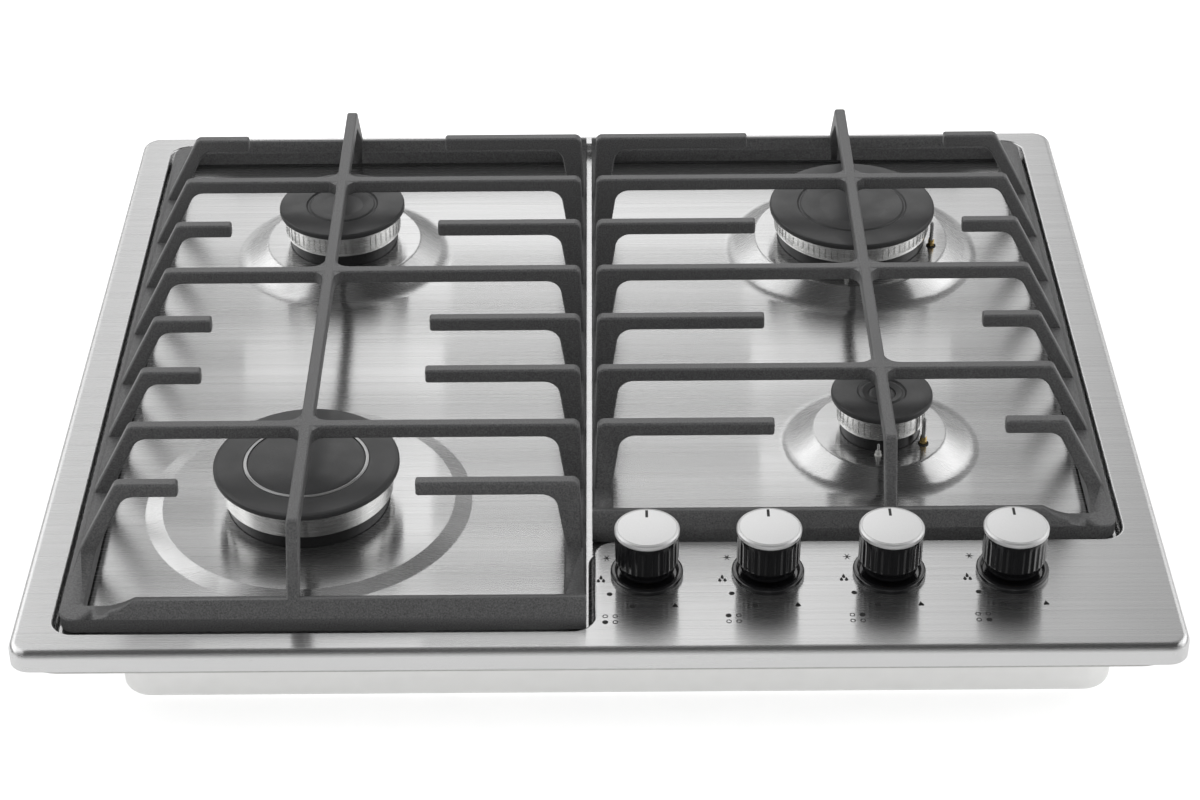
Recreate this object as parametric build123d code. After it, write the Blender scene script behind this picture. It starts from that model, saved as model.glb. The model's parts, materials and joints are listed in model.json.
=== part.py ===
from build123d import *
import math
import os
from collections import namedtuple

# Built-in four-burner gas cooktop. Millimetres, +Z up, +Y to the rear.
# Origin: centre of the plate's outline, at the underside of the burner box.

# ---- top plate: one pressed stainless sheet ----
plate_width = 580.0
plate_depth = 520.0
half_width = plate_width / 2
half_depth = plate_depth / 2
plate_corner_r = 11.0
sheet = 1.0
edge_roll = 4.0
apron_height = 11.5
hem_width = 12.0

# ---- recess that the grates stand in, L-shaped round the knob panel ----
recess_depth = 6.8
recess_side_x = half_width - 19.7
recess_front_y = -half_depth + 15.7
recess_rear_y = half_depth - 13.0
panel_rear_y = -half_depth + 87.6
panel_left_x = -2.2
recess_corner_r = 11.0
recess_floor_r = 3.0
recess_rim_r = 1.2

# ---- seal, burner box and their levels ----
seal_thickness = 2.5
seal_width = 8.0
seal_inset = 2.0
seal_corner_r = 22.0
box_drop = 40.0
box_left_x = -half_width + 48.0
box_right_x = half_width - 30.0
box_front_y = -half_depth + 30.0
box_rear_y = half_depth - 30.0
box_corner_r = 15.0
box_floor_r = 4.0
box_flange = 8.0
worktop_z = box_drop
rim_z = worktop_z + seal_thickness
plate_top = rim_z + apron_height
pan_floor = plate_top - recess_depth
pan_under = pan_floor - sheet

# ---- fixings ----
stud_r = 2.0
nut_r = 3.6
nut_height = 3.2
stud_length = 6.5
clamp_hole_r = 2.1
clamp_spacing_x = plate_width - 140.0
clamp_spacing_y = plate_depth - 120.0
clamp_boss_r = 5.0
clamp_boss_height = 6.0
thread_gap = 0.05
cup_nut_r = 3.4
cup_nut_height = 2.8
cup_stud_length = 7.2

# ---- burners ----
seat_rise = 9.8
seat_margin = 8.8
skirt_run = 14.2
skirt_foot_r = 14.0
skirt_brow_r = 3.0
disc_rise = 2.5
disc_r = 77.0
disc_bevel_run = 9.0
disc_foot_r = 2.0
disc_brow_r = 1.0
collar_height = 7.8
cup_step = 2.4
cup_wall = 2.5
cup_flange_t = 3.0
cup_flange_reach = 9.0
cup_bowl_depth = 12.4
cup_floor_t = 3.0
cup_boss_r = 9.0
cup_boss_drop = 1.0
collar_gap = 0.4
head_wall = 2.6
head_web = 2.0
head_spigot = 3.0
head_gap = 0.3
head_throat_r = 6.0
head_throat_wall = 1.8
slot_width = 0.9
cap_thickness = 3.8
cap_skirt = 2.0
cap_skirt_t = 1.5
cap_lip = 1.3
cap_dish = 1.1
cap_groove = 0.7
cap_groove_width = 1.5
inner_cap_r = 31.0
inner_cap_t = 2.6
trim_width = 1.6
trim_height = 2.2
trim_gap = 0.1

# ---- injector, spark electrode and flame sensor beside each burner ----
jet_r = 3.0
jet_head_r = 4.4
jet_head_height = 4.0
jet_hole_r = 0.45
spark_angle = -97.0
spark_reach = 1.2
spark_body_r = 2.1
spark_rise = 4.6
spark_body_drop = 14.0
spark_pin_r = 0.7
spark_pin_height = 2.6
spark_skirt_r = 3.2
sensor_reach = 2.6
sensor_body_r = 1.5
sensor_rise = 16.5
sensor_drop = 16.0
sensor_nut_r = 2.9
sensor_nut_height = 2.6
hole_gap = 0.25

# ---- gas train ----
pipe_z = 31.0
pipe_r = 3.0
pipe_wall = 1.0
pipe_bend_r = 14.0
pipe_socket = 6.0
inlet_boss_r = 6.0
manifold_r = 7.5
manifold_wall = 1.5
manifold_z = 17.0
manifold_left_x = 6.0
manifold_right_x = box_right_x - 22.0
manifold_bend_r = 20.0
manifold_rear_y = box_rear_y - 20.0
manifold_jog_y = (box_rear_y - 90.0, box_rear_y - 52.0)
inlet_x = box_right_x - 46.0
manifold_plug = 3.0
saddle_length = 14.0
saddle_width = 22.0
saddle_rise = 4.0
inlet_body_r = 11.4
inlet_flange_r = 12.5
inlet_flange_t = 3.0
inlet_thread_r = 10.4
inlet_thread_length = 17.0
inlet_neck_r = 9.6
inlet_relief = 1.0
inlet_bore_r = 5.0

# ---- knobs and taps ----
knob_first_x = 24.5
knob_last_x = half_width - 81.0
knob_steps = (0.0, 0.3312, 0.6629, 1.0)
knob_xs = tuple(knob_first_x + (knob_last_x - knob_first_x) * step for step in knob_steps)
knob_y = -half_depth + 60.5
manifold_y = knob_y + 22.4
knob_r = 16.0
knob_foot_r = 14.0
knob_foot_height = 2.5
knob_flare_height = 6.0
knob_lift = 4.2
knob_body_height = 22.1
knob_wall = 2.6
knob_hollow = 9.0
knob_boss_r = 7.0
knob_rib_count = 30
knob_rib_r = 1.2
knob_rib_depth = 0.35
face_r = 16.4
face_height = 3.0
face_bevel = 0.9
pointer_length = 6.0
pointer_width = 1.4
pointer_depth = 0.35
pointer_inset = 1.2
bezel_outer_r = 18.4
bezel_inner_r = 15.1
bezel_height = 2.9
bezel_bore_r = 5.0
bezel_lip = 1.2
bezel_slope = 0.9
bezel_floor = 0.8
push_travel = 3.0
shaft_r = 4.0
shaft_flat = 1.2
shaft_gap = 0.05
shaft_in_knob = 14.0
shaft_hole_r = 9.6
valve_width = 24.0
valve_depth = 26.0
valve_bottom = 8.0
valve_block_top = 42.0
valve_neck_r = 9.0
valve_neck_gap = 0.3
valve_nipple_r = 4.0
valve_outlet_r = 5.5
valve_outlet_reach = 9.0
valve_magnet_r = 6.0
valve_magnet_length = 12.0
spring_r = 3.4
spring_wall = 0.9
spring_length = 11.0
switch_size = (5.5, 15.0, 9.0)

# ---- electrical pieces ----
module_size = (72.0, 42.0, 24.0)
module_centre = (-50.0, box_rear_y - 42.0)
terminal_size = (36.0, 20.0, 16.0)
terminal_centre = (-160.0, box_rear_y - 30.0)
gland_x = -160.0
gland_z = 14.0
gland_flange_r = 9.0
gland_flange_t = 2.5
gland_neck_r = 6.0
gland_neck_length = 4.0
cable_r = 3.6

# ---- grates: heights above the plate's top ----
grate_top = 44.5
bar_width = 6.4
bar_height = 8.0
bar_round = 1.3
row_first_y = half_depth - 83.0
row_pitch = (plate_depth - 164.4) / 7
bar_centre_x = half_width - 139.2
kink_x = half_width - 47.0
foot_x = half_width - 25.0
foot_inner_x = half_width - 34.0
elbow_inner_x = half_width - 51.0
leg_sink = 1.5
stub_end_x = half_width - 78.5
finger_end_x = bar_centre_x - 59.0
split_x = -4.6
split_gap = 3.2
inner_kink_inset = 3.0
inner_leg_width = 8.8
inner_elbow_run = 3.4
rail_outer_x = half_width - 22.7
rail_width = 11.0
rail_top = 3.3
rail_bottom = -4.6
upstand_top = 10.5
upstand_width = 3.3
upstand_lean = 5.3
upstand_base = 9.5
front_lean = 5.6
front_base = 11.2
dip_radius = 40.0
dip_start_x = half_width - 38.0
grate_rear_y = half_depth - 18.5
grate_rear_kink_y = half_depth - 50.4
left_front_y = -half_depth + 22.3
left_front_kink_y = -half_depth + 47.5
right_front_y = panel_rear_y + 5.8
right_front_kink_y = panel_rear_y + 28.2
grate_corner_r = 8.0
elbow_r = 8.5
kink_r = 4.0
flare_r = 8.0
pad_inset = 5.4
pad_r = 4.0
pad_stem_r = 2.0
pad_stem = 3.0
rest_gap = 0.05

left_rows = tuple(row_first_y - row_pitch * i for i in range(8))
right_rows = left_rows[:7]
full_rows = (1, 3, 6)
right_full_rows = (1, 3, 5)

# ---- burners stand under full rows ----
burner_x = half_width - 137.5
Burner = namedtuple("Burner", "name x y cap_r head_r head_height slots raised sensor_angle inlet_angle")
burners = (
    Burner("front_left", -burner_x + 0.2, left_rows[6], 48.7, 44.8, 13.4, 60, False, 60.0, 0.0),
    Burner("rear_left", -burner_x + 0.5, left_rows[1], 37.2, 34.3, 12.9, 56, True, 60.0, 0.0),
    Burner("rear_right", burner_x + 0.1, right_rows[1], 49.0, 46.2, 10.6, 76, True, -15.0, -90.0),
    Burner("front_right", burner_x + 0.1, right_rows[5], 27.2, 23.7, 12.7, 40, True, -33.0, 0.0),
)


def export(name, *solids):
    """One STEP file per node; several solids make a group."""
    shape = solids[0] if len(solids) == 1 else Compound(children=list(solids))
    export_step(shape, os.path.join("parts", name + ".step"))


def block(x0, x1, y0, y1, z0, z1):
    return Pos((x0 + x1) / 2, (y0 + y1) / 2, (z0 + z1) / 2) * Box(x1 - x0, y1 - y0, z1 - z0)


def drum(x, y, r, z0, z1):
    return Pos(x, y, (z0 + z1) / 2) * Cylinder(r, z1 - z0)


def tube(x, y, r_out, r_in, z0, z1):
    return drum(x, y, r_out, z0, z1) - drum(x, y, r_in, z0 - 1, z1 + 1)


def rod_y(x, z, r, y0, y1):
    return Pos(x, (y0 + y1) / 2, z) * Rot(90, 0, 0) * Cylinder(r, abs(y1 - y0))


def rod_x(y, z, r, x0, x1):
    return Pos((x0 + x1) / 2, y, z) * Rot(0, 90, 0) * Cylinder(r, abs(x1 - x0))


def slab(x0, x1, y0, y1, radius, z0, z1):
    """Flat slab with rounded plan corners."""
    plan = Pos((x0 + x1) / 2, (y0 + y1) / 2, z0) * RectangleRounded(x1 - x0, y1 - y0, radius)
    return extrude(plan, amount=z1 - z0)


def turned(*profile):
    """Solid of revolution about Z from (radius, height) points."""
    return revolve(Plane.XZ * make_face(Polyline(*profile, close=True)), Axis.Z)


def rounded_profile(points, radii):
    """Face from a closed polygon, each corner rounded by its own radius."""
    face = make_face(Polyline(*points, close=True))
    for point, radius in zip(points, radii):
        if radius:
            corner = face.vertices().sort_by_distance(Vector(point[0], point[1], 0))[0]
            face = fillet(corner, radius)
    return face


def polar(b, radius, angle):
    a = math.radians(angle)
    return b.x + radius * math.cos(a), b.y + radius * math.sin(a)


# ---- levels that several pieces share ----
def seat_z(b):
    return pan_floor + (seat_rise if b.raised else disc_rise)


def collar_r(b):
    return b.head_r - cup_step


def head_z(b):
    return seat_z(b) + collar_height


def cap_z(b):
    return head_z(b) + b.head_height


def bowl_z(b):
    return seat_z(b) - cup_bowl_depth


def cup_stud_places(b):
    reach = (collar_r(b) + b.head_r + cup_flange_reach) / 2
    return [polar(b, reach, angle) for angle in (25.0, 145.0, 265.0 - 45.0)]


def dome(b, thickness):
    """Pressed rise of the pan floor under a burner, moved down by a sheet thickness."""
    rise, top_r = (seat_rise, b.cap_r + seat_margin) if b.raised else (disc_rise, disc_r)
    run = skirt_run if b.raised else disc_bevel_run
    foot_r, brow_r = (skirt_foot_r, skirt_brow_r) if b.raised else (disc_foot_r, disc_brow_r)
    shift = thickness * math.tan(math.atan2(rise, run) / 2)
    top = pan_floor + rise - thickness
    foot = pan_floor - thickness
    low = foot - sheet
    outer = top_r + run
    points = [(0, low), (outer + 2 * run, low), (outer + 2 * run, foot), (outer - shift, foot)]
    points += [(top_r - shift, top), (0, top)]
    face = rounded_profile(points, [0, 0, 0, foot_r, brow_r, 0])
    return Pos(b.x, b.y, 0) * revolve(Plane.XZ * face, Axis.Z), outer + 2 * run


def recess_plan(grow):
    x, front, rear = recess_side_x + grow, recess_front_y - grow, recess_rear_y + grow
    step_x, step_y = panel_left_x + grow, panel_rear_y - grow
    points = [(-x, front), (step_x, front), (step_x, step_y), (x, step_y), (x, rear), (-x, rear)]
    radii = [recess_corner_r + grow] * 6
    radii[2] = recess_corner_r - grow
    return rounded_profile(points, radii)


def make_top_plate():
    half_w, half_d = plate_width / 2, plate_depth / 2
    skin = slab(-half_w, half_w, -half_d, half_d, plate_corner_r, rim_z, plate_top)
    skin = fillet(skin.faces().sort_by(Axis.Z)[-1].edges(), edge_roll)
    in_w, in_d = half_w - sheet, half_d - sheet
    hollow = slab(-in_w, in_w, -in_d, in_d, plate_corner_r - sheet, rim_z + sheet, plate_top - sheet)
    hollow = fillet(hollow.faces().sort_by(Axis.Z)[-1].edges(), edge_roll - sheet)
    hem_w, hem_d = half_w - hem_width, half_d - hem_width
    mouth = slab(-hem_w, hem_w, -hem_d, hem_d, plate_corner_r / 2, rim_z - 1, rim_z + 2 * sheet)
    cavity = extrude(Pos(0, 0, pan_floor) * recess_plan(0), amount=recess_depth + 1)
    cavity = fillet(cavity.faces().sort_by(Axis.Z)[0].edges(), recess_floor_r)
    pan = extrude(Pos(0, 0, pan_under) * recess_plan(sheet), amount=recess_depth + sheet / 2)
    pan = fillet(pan.faces().sort_by(Axis.Z)[0].edges(), recess_floor_r + sheet)
    plate = skin - hollow - mouth + pan - cavity
    rim = [e for e in plate.edges().group_by(Axis.Z)[-1] if abs(e.center().X) < recess_side_x + 1
           and recess_front_y - 1 < e.center().Y < recess_rear_y + 1]
    plate = fillet(rim, recess_rim_r)
    for b in burners:
        bump, reach = dome(b, 0)
        core = drum(b.x, b.y, reach, pan_floor - sheet / 2, seat_z(b) + 1)
        under, _ = dome(b, sheet)
        plate = plate + (bump & core)
        plate = plate - (under & drum(b.x, b.y, reach, pan_under, seat_z(b)))
    for b in burners:
        top, low = seat_z(b) + 1, seat_z(b) - sheet - 1
        cuts = [drum(b.x, b.y, collar_r(b) + collar_gap, low, top)]
        cuts.append(drum(*spark_place(b), spark_body_r + hole_gap, low, top))
        cuts.append(drum(*sensor_place(b), sensor_body_r + hole_gap, low, top))
        plate = plate - cuts
    plate = plate - [drum(x, knob_y, shaft_hole_r, rim_z, plate_top + 1) for x in knob_xs]
    studs = [drum(x, y, stud_r, pan_under - stud_length, pan_under + sheet / 2) for x, y in stud_places()]
    for b in burners:
        under = seat_z(b) - sheet
        studs += [drum(x, y, stud_r, under - cup_stud_length, under + sheet / 2) for x, y in cup_stud_places(b)]
    return plate + studs


def stud_places():
    """Welded studs under the pan floor, on the box flange's centre line."""
    reach = box_flange / 2
    xs = (box_left_x - reach, box_right_x + reach)
    sides = [(x, y) for x in xs for y in (-120.0, 20.0, 160.0)]
    rear = [(x, box_rear_y + reach) for x in (-120.0, 120.0)]
    front = [(x, box_front_y - reach) for x in (-180.0, -60.0)]
    return sides + rear + front


def make_worktop_seal():
    outer_w, outer_d = plate_width / 2 - seal_inset, plate_depth / 2 - seal_inset
    ring = slab(-outer_w, outer_w, -outer_d, outer_d, seal_corner_r, worktop_z, rim_z)
    in_w, in_d = outer_w - seal_width, outer_d - seal_width
    return ring - slab(-in_w, in_w, -in_d, in_d, seal_corner_r - seal_width, worktop_z - 1, rim_z + 1)


def make_burner_box():
    top = pan_under
    x0, x1, y0, y1 = box_left_x, box_right_x, box_front_y, box_rear_y
    shell = slab(x0, x1, y0, y1, box_corner_r, 0, top)
    shell = fillet(shell.faces().sort_by(Axis.Z)[0].edges(), box_floor_r)
    flange = slab(x0 - box_flange, x1 + box_flange, y0 - box_flange, y1 + box_flange,
                  box_corner_r + box_flange, top - sheet, top)
    hollow = slab(x0 + sheet, x1 - sheet, y0 + sheet, y1 - sheet, box_corner_r - sheet, sheet, top + 1)
    hollow = fillet(hollow.faces().sort_by(Axis.Z)[0].edges(), box_floor_r - sheet)
    box = shell + flange - hollow
    clamps = [(sx * clamp_spacing_x / 2, sy * clamp_spacing_y / 2) for sx in (-1, 1) for sy in (-1, 1)]
    box = box + [drum(x, y, clamp_boss_r, sheet / 2, clamp_boss_height) for x, y in clamps]
    cuts = [drum(x, y, clamp_hole_r, -1, clamp_boss_height + 1) for x, y in clamps]
    cuts += [drum(x, y, stud_r + hole_gap, top - 2 * sheet, top + 1) for x, y in stud_places()]
    cuts.append(rod_y(inlet_x, manifold_z, inlet_thread_r + hole_gap, y1 - 3, y1 + 2))
    cuts.append(rod_y(gland_x, gland_z, gland_neck_r + thread_gap, y1 - 3, y1 + 2))
    return box - cuts


def make_box_nuts():
    top = pan_under - sheet
    nuts = []
    for x, y in stud_places():
        hexagon = Pos(x, y, top - nut_height) * RegularPolygon(nut_r, 6)
        nuts.append(extrude(hexagon, amount=nut_height) - drum(x, y, stud_r + thread_gap, 0, top + 1))
    return nuts


# ---- burners ----
def spark_place(b):
    return polar(b, b.head_r + spark_reach, spark_angle)


def sensor_place(b):
    return polar(b, b.head_r + sensor_reach, b.sensor_angle)


def inlet_dir(b):
    a = math.radians(b.inlet_angle)
    return math.cos(a), math.sin(a)


def inlet_reach(b):
    return collar_r(b) - 4.0


def make_cup(b):
    top = head_z(b)
    under = seat_z(b) - sheet
    flange_low = under - cup_flange_t
    outer, inner = collar_r(b), collar_r(b) - cup_wall
    floor = bowl_z(b)
    bottom = pipe_z - inlet_boss_r - cup_boss_drop
    body = turned(
        (0, bottom), (cup_boss_r, bottom), (cup_boss_r, floor - cup_floor_t),
        (outer, min(flange_low - 1, floor + 1)), (outer, flange_low),
        (b.head_r + cup_flange_reach, flange_low), (b.head_r + cup_flange_reach, under),
        (outer, under), (outer, top), (inner, top), (inner, floor + cup_wall),
        (jet_head_r + 2, floor), (jet_r + thread_gap, floor), (jet_r + thread_gap, pipe_z),
        (0, pipe_z),
    )
    ux, uy = inlet_dir(b)
    reach = inlet_reach(b)
    boss = Pos(ux * reach / 2, uy * reach / 2, pipe_z) * Rot(0, 0, b.inlet_angle) * Rot(0, 90, 0)
    cup = body + boss * Cylinder(inlet_boss_r, reach)
    socket_mid = reach - pipe_socket / 2
    socket = Pos(ux * socket_mid, uy * socket_mid, pipe_z) * Rot(0, 0, b.inlet_angle) * Rot(0, 90, 0)
    cup = cup - socket * Cylinder(pipe_r + thread_gap, pipe_socket + 0.01)
    cup = cup - boss * Cylinder(pipe_r - pipe_wall, reach)
    cup = cup - drum(0, 0, jet_r + thread_gap, pipe_z, floor + 1)
    cup = Pos(b.x, b.y, 0) * cup
    cuts = [drum(*spark_place(b), spark_body_r + hole_gap, flange_low - 1, under + 1)]
    cuts.append(drum(*sensor_place(b), sensor_body_r + hole_gap, flange_low - 1, under + 1))
    cuts += [drum(x, y, stud_r + hole_gap, flange_low - 1, under + 1) for x, y in cup_stud_places(b)]
    return cup - cuts


def make_cup_nuts(b):
    top = seat_z(b) - sheet - cup_flange_t
    nuts = []
    for x, y in cup_stud_places(b):
        hexagon = Pos(x, y, top - cup_nut_height) * RegularPolygon(cup_nut_r, 6)
        nuts.append(extrude(hexagon, amount=cup_nut_height) - drum(x, y, stud_r + thread_gap, 0, top + 1))
    return nuts


def make_injector(b):
    floor = bowl_z(b)
    body = drum(b.x, b.y, jet_r, pipe_z + pipe_r, floor) + drum(b.x, b.y, jet_head_r, floor, floor + jet_head_height)
    body = chamfer(body.faces().sort_by(Axis.Z)[-1].edges(), 1.5)
    return body - drum(b.x, b.y, jet_hole_r, 0, floor + jet_head_height + 1)


def make_head(b):
    low, high = head_z(b), cap_z(b)
    inner_wall = b.head_r - head_wall
    spigot = collar_r(b) - cup_wall - head_gap
    crown = turned(
        (spigot, low - head_spigot), (spigot, low), (b.head_r, low), (b.head_r, high),
        (inner_wall, high), (inner_wall, low + head_web),
        (head_throat_r + head_throat_wall, low + head_web),
        (head_throat_r + head_throat_wall, high - 4), (head_throat_r, high - 4),
        (head_throat_r, low), (spigot - 2, low), (spigot - 2, low - head_spigot),
    )
    slot_low, slot_high = (low + head_web + 0.6, high - 2) if b.raised else (high - 3.6, high - 1)
    cutter = Pos(b.head_r - head_wall / 2, 0, (slot_low + slot_high) / 2)
    cutter = cutter * Box(2 * head_wall, slot_width, slot_high - slot_low)
    cuts = [Rot(0, 0, 360 * i / b.slots) * cutter for i in range(b.slots)]
    return Pos(b.x, b.y, 0) * (crown - cuts)


def ring_groove(radius, top):
    """V-shaped ring cut into the top of a cap."""
    half = cap_groove_width / 2
    return turned((radius - half, top + 1), (radius - half, top), (radius, top - cap_groove),
                  (radius + half, top), (radius + half, top + 1))


def make_cap(b):
    low, top = cap_z(b), cap_z(b) + cap_thickness
    skirt = b.head_r - head_wall - head_gap
    lip_low = low + 0.4
    dish_r = b.cap_r * (0.64 if b.cap_r > 40 else 0.54 if b.cap_r > 30 else 0.43)
    profile = [(0, low), (skirt - cap_skirt_t, low), (skirt - cap_skirt_t, low - cap_skirt),
               (skirt, low - cap_skirt), (skirt, low), (b.head_r + 0.4, low), (b.cap_r, lip_low),
               (b.cap_r, top), (dish_r, top), (dish_r * 0.55, top - cap_dish), (0, top - cap_dish)]
    face = rounded_profile(profile, [0, 0, 0, 0, 0, 0, 0, cap_lip, 0, 0, 0])
    cap = revolve(Plane.XZ * face, Axis.Z) - ring_groove(dish_r, top)
    if b.cap_r < 30:
        cap = cap - ring_groove(dish_r * 0.66, top - 0.3)
    return Pos(b.x, b.y, 0) * cap


def make_ring_cap(b):
    """Wide cap of the front left burner, with a pocket for its inner cap and bright ring."""
    low, top = cap_z(b), cap_z(b) + cap_thickness
    skirt = b.head_r - head_wall - head_gap
    pocket = inner_cap_r + 2 * trim_gap + trim_width
    floor = top - trim_height
    profile = [(0, low), (skirt - cap_skirt_t, low), (skirt - cap_skirt_t, low - cap_skirt),
               (skirt, low - cap_skirt), (skirt, low), (b.head_r + 0.4, low), (b.cap_r, low + 0.6),
               (b.cap_r, top - 0.5), (pocket, top), (pocket, floor), (0, floor)]
    face = rounded_profile(profile, [0, 0, 0, 0, 0, 0, 0, cap_lip, 0, 0, 0])
    return Pos(b.x, b.y, 0) * revolve(Plane.XZ * face, Axis.Z)


def make_trim(b):
    floor = cap_z(b) + cap_thickness - trim_height
    inner = inner_cap_r + trim_gap
    return tube(b.x, b.y, inner + trim_width, inner, floor, floor + trim_height + 0.3)


def make_inner_cap(b):
    floor = cap_z(b) + cap_thickness - trim_height
    rim = floor + inner_cap_t - 0.6
    crown = rim + 0.9
    points = [(0, floor), (inner_cap_r, floor), (inner_cap_r, rim), (inner_cap_r * 0.6, crown), (0, crown)]
    face = rounded_profile(points, [0, 0, 0.8, 12.0, 0])
    return Pos(b.x, b.y, 0) * revolve(Plane.XZ * face, Axis.Z)


def make_spark(b):
    """Ceramic body on a shoulder under the cup flange, with a metal pin."""
    x, y = spark_place(b)
    base = seat_z(b) - sheet - cup_flange_t
    body = drum(x, y, spark_body_r, base - 1, seat_z(b) + spark_rise)
    body = body + drum(x, y, spark_skirt_r, base - spark_body_drop + 6, base)
    pin_low = seat_z(b) + spark_rise
    return body, drum(x, y, spark_pin_r, pin_low, pin_low + spark_pin_height)


def make_sensor(b):
    x, y = sensor_place(b)
    low = seat_z(b) - sensor_drop
    rod = drum(x, y, sensor_body_r, low, seat_z(b) + sensor_rise)
    return fillet(rod.faces().sort_by(Axis.Z)[-1].edges(), sensor_body_r * 0.8)


def make_sensor_nut(b):
    x, y = sensor_place(b)
    hexagon = Pos(x, y, seat_z(b)) * RegularPolygon(sensor_nut_r, 6)
    nut = extrude(hexagon, amount=sensor_nut_height)
    return nut - drum(x, y, sensor_body_r + thread_gap, seat_z(b) - 1, seat_z(b) + sensor_nut_height + 1)


# ---- knobs and taps ----
def make_knob_body(x):
    low = plate_top + knob_lift
    high = low + knob_body_height
    profile = [(0, low), (knob_foot_r, low), (knob_foot_r, low + knob_foot_height),
               (knob_r, low + knob_flare_height), (knob_r, high), (0, high)]
    face = rounded_profile(profile, [0, 0.8, 5.0, 5.0, 0, 0])
    body = Pos(x, knob_y, 0) * revolve(Plane.XZ * face, Axis.Z)
    body = body - drum(x, knob_y, knob_foot_r - knob_wall, low - 1, low + knob_hollow)
    body = body + drum(x, knob_y, knob_boss_r, low, low + knob_hollow + 1)
    reach = knob_r + knob_rib_r - knob_rib_depth
    turns = [2 * math.pi * i / knob_rib_count for i in range(knob_rib_count)]
    body = body - [drum(x + reach * math.cos(a), knob_y + reach * math.sin(a), knob_rib_r, low, high - 1.5)
                   for a in turns]
    bore_top = low + shaft_in_knob + 1.0
    bore = drum(x, knob_y, shaft_r + shaft_gap, low - 1, bore_top)
    flat_y = knob_y + shaft_r - shaft_flat + shaft_gap
    return body - (bore - block(x - 6, x + 6, flat_y, knob_y + 6, low - 2, bore_top + 1))


def make_knob_face(x):
    low = plate_top + knob_lift + knob_body_height
    face = drum(x, knob_y, face_r, low, low + face_height)
    face = chamfer(face.faces().sort_by(Axis.Z)[-1].edges(), face_bevel)
    rear = knob_y + face_r - face_bevel - pointer_inset
    top = low + face_height
    slot = block(x - pointer_width / 2, x + pointer_width / 2, rear - pointer_length, rear,
                 top - pointer_depth, top + 1)
    return face - slot


def make_bezel(x):
    """Shallow cup round the knob's foot, its floor open round the spindle."""
    low, high = plate_top, plate_top + bezel_height
    floor = low + bezel_floor
    inner = bezel_inner_r + bezel_slope
    profile = [(bezel_bore_r, low), (bezel_outer_r, low), (bezel_outer_r, high), (inner, high),
               (bezel_inner_r, floor), (bezel_bore_r, floor)]
    face = rounded_profile(profile, [0, 0, bezel_lip, 0, 0.8, 0])
    return Pos(x, knob_y, 0) * revolve(Plane.XZ * face, Axis.Z)


def shaft_bottom():
    return valve_bottom + sheet + spring_length + 3.0


def make_shaft(x):
    top = plate_top + knob_lift + shaft_in_knob
    low = shaft_bottom()
    rod = drum(x, knob_y, shaft_r, low, top)
    flat_low = plate_top - 2.0
    return rod - block(x - 6, x + 6, knob_y + shaft_r - shaft_flat, knob_y + 6, flat_low, top + 1)


def make_spring(x):
    low = shaft_bottom() - spring_length
    return tube(x, knob_y, spring_r, spring_r - spring_wall, low, low + spring_length)


def make_valve(x):
    rear = knob_y + valve_depth / 2
    body = block(x - valve_width / 2, x + valve_width / 2, knob_y - valve_depth / 2, rear,
                 valve_bottom, valve_block_top)
    body = fillet(body.edges().filter_by(Axis.Z), 3.0)
    body = body + drum(x, knob_y, valve_neck_r, valve_block_top - 1, plate_top - sheet - valve_neck_gap)
    body = body + rod_x(knob_y, manifold_z + 3, valve_magnet_r, x + valve_width / 2 - 1,
                        x + valve_width / 2 + valve_magnet_length)
    body = body + rod_y(x, pipe_z, valve_outlet_r, rear - 1, rear + valve_outlet_reach)
    wall_mid = manifold_y - manifold_r + manifold_wall * 0.6
    body = body + rod_y(x, manifold_z, valve_nipple_r, rear - 1, wall_mid)
    bore_low = shaft_bottom() - spring_length
    body = body - drum(x, knob_y, shaft_r + shaft_gap, bore_low, plate_top)
    body = body - rod_y(x, pipe_z, pipe_r + thread_gap, rear + valve_outlet_reach - pipe_socket,
                        rear + valve_outlet_reach + 1)
    return body - rod_y(x, manifold_z, valve_nipple_r - 2, rear - 4, wall_mid + 1)


def make_switch(x):
    w, d, h = switch_size
    side = x - valve_width / 2
    return block(side - w, side, knob_y - d / 2, knob_y + d / 2, valve_block_top - 1 - h, valve_block_top - 1)


# ---- gas train ----
def swept_tube(path, outer, wall):
    plane = Plane(origin=path @ 0, z_dir=path % 0)
    solid = sweep(plane * Circle(outer), path=path)
    return solid - sweep(plane * Circle(outer - wall), path=path)


def make_manifold():
    jog_start, jog_end = manifold_jog_y
    corners = [(manifold_left_x, manifold_y), (manifold_right_x, manifold_y), (manifold_right_x, jog_start),
               (inlet_x, jog_end), (inlet_x, manifold_rear_y)]
    path = FilletPolyline(*[(x, y, manifold_z) for x, y in corners], radius=manifold_bend_r)
    pipe = swept_tube(path, manifold_r, manifold_wall)
    pipe = pipe + rod_x(manifold_y, manifold_z, manifold_r, manifold_left_x - manifold_plug, manifold_left_x)
    front = manifold_y - manifold_r
    holes = [rod_y(x, manifold_z, valve_nipple_r + thread_gap, front - 2, front + manifold_r) for x in knob_xs]
    return pipe - holes


def make_saddle(x, y, along_x):
    """Cradle between the box floor and the manifold."""
    sx, sy = (saddle_length, saddle_width) if along_x else (saddle_width, saddle_length)
    cradle = block(x - sx / 2, x + sx / 2, y - sy / 2, y + sy / 2, sheet, manifold_z - manifold_r + saddle_rise)
    gap_r = manifold_r + thread_gap
    if along_x:
        return cradle - rod_x(y, manifold_z, gap_r, x - sx, x + sx)
    return cradle - rod_y(x, manifold_z, gap_r, y - sy, y + sy)


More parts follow.
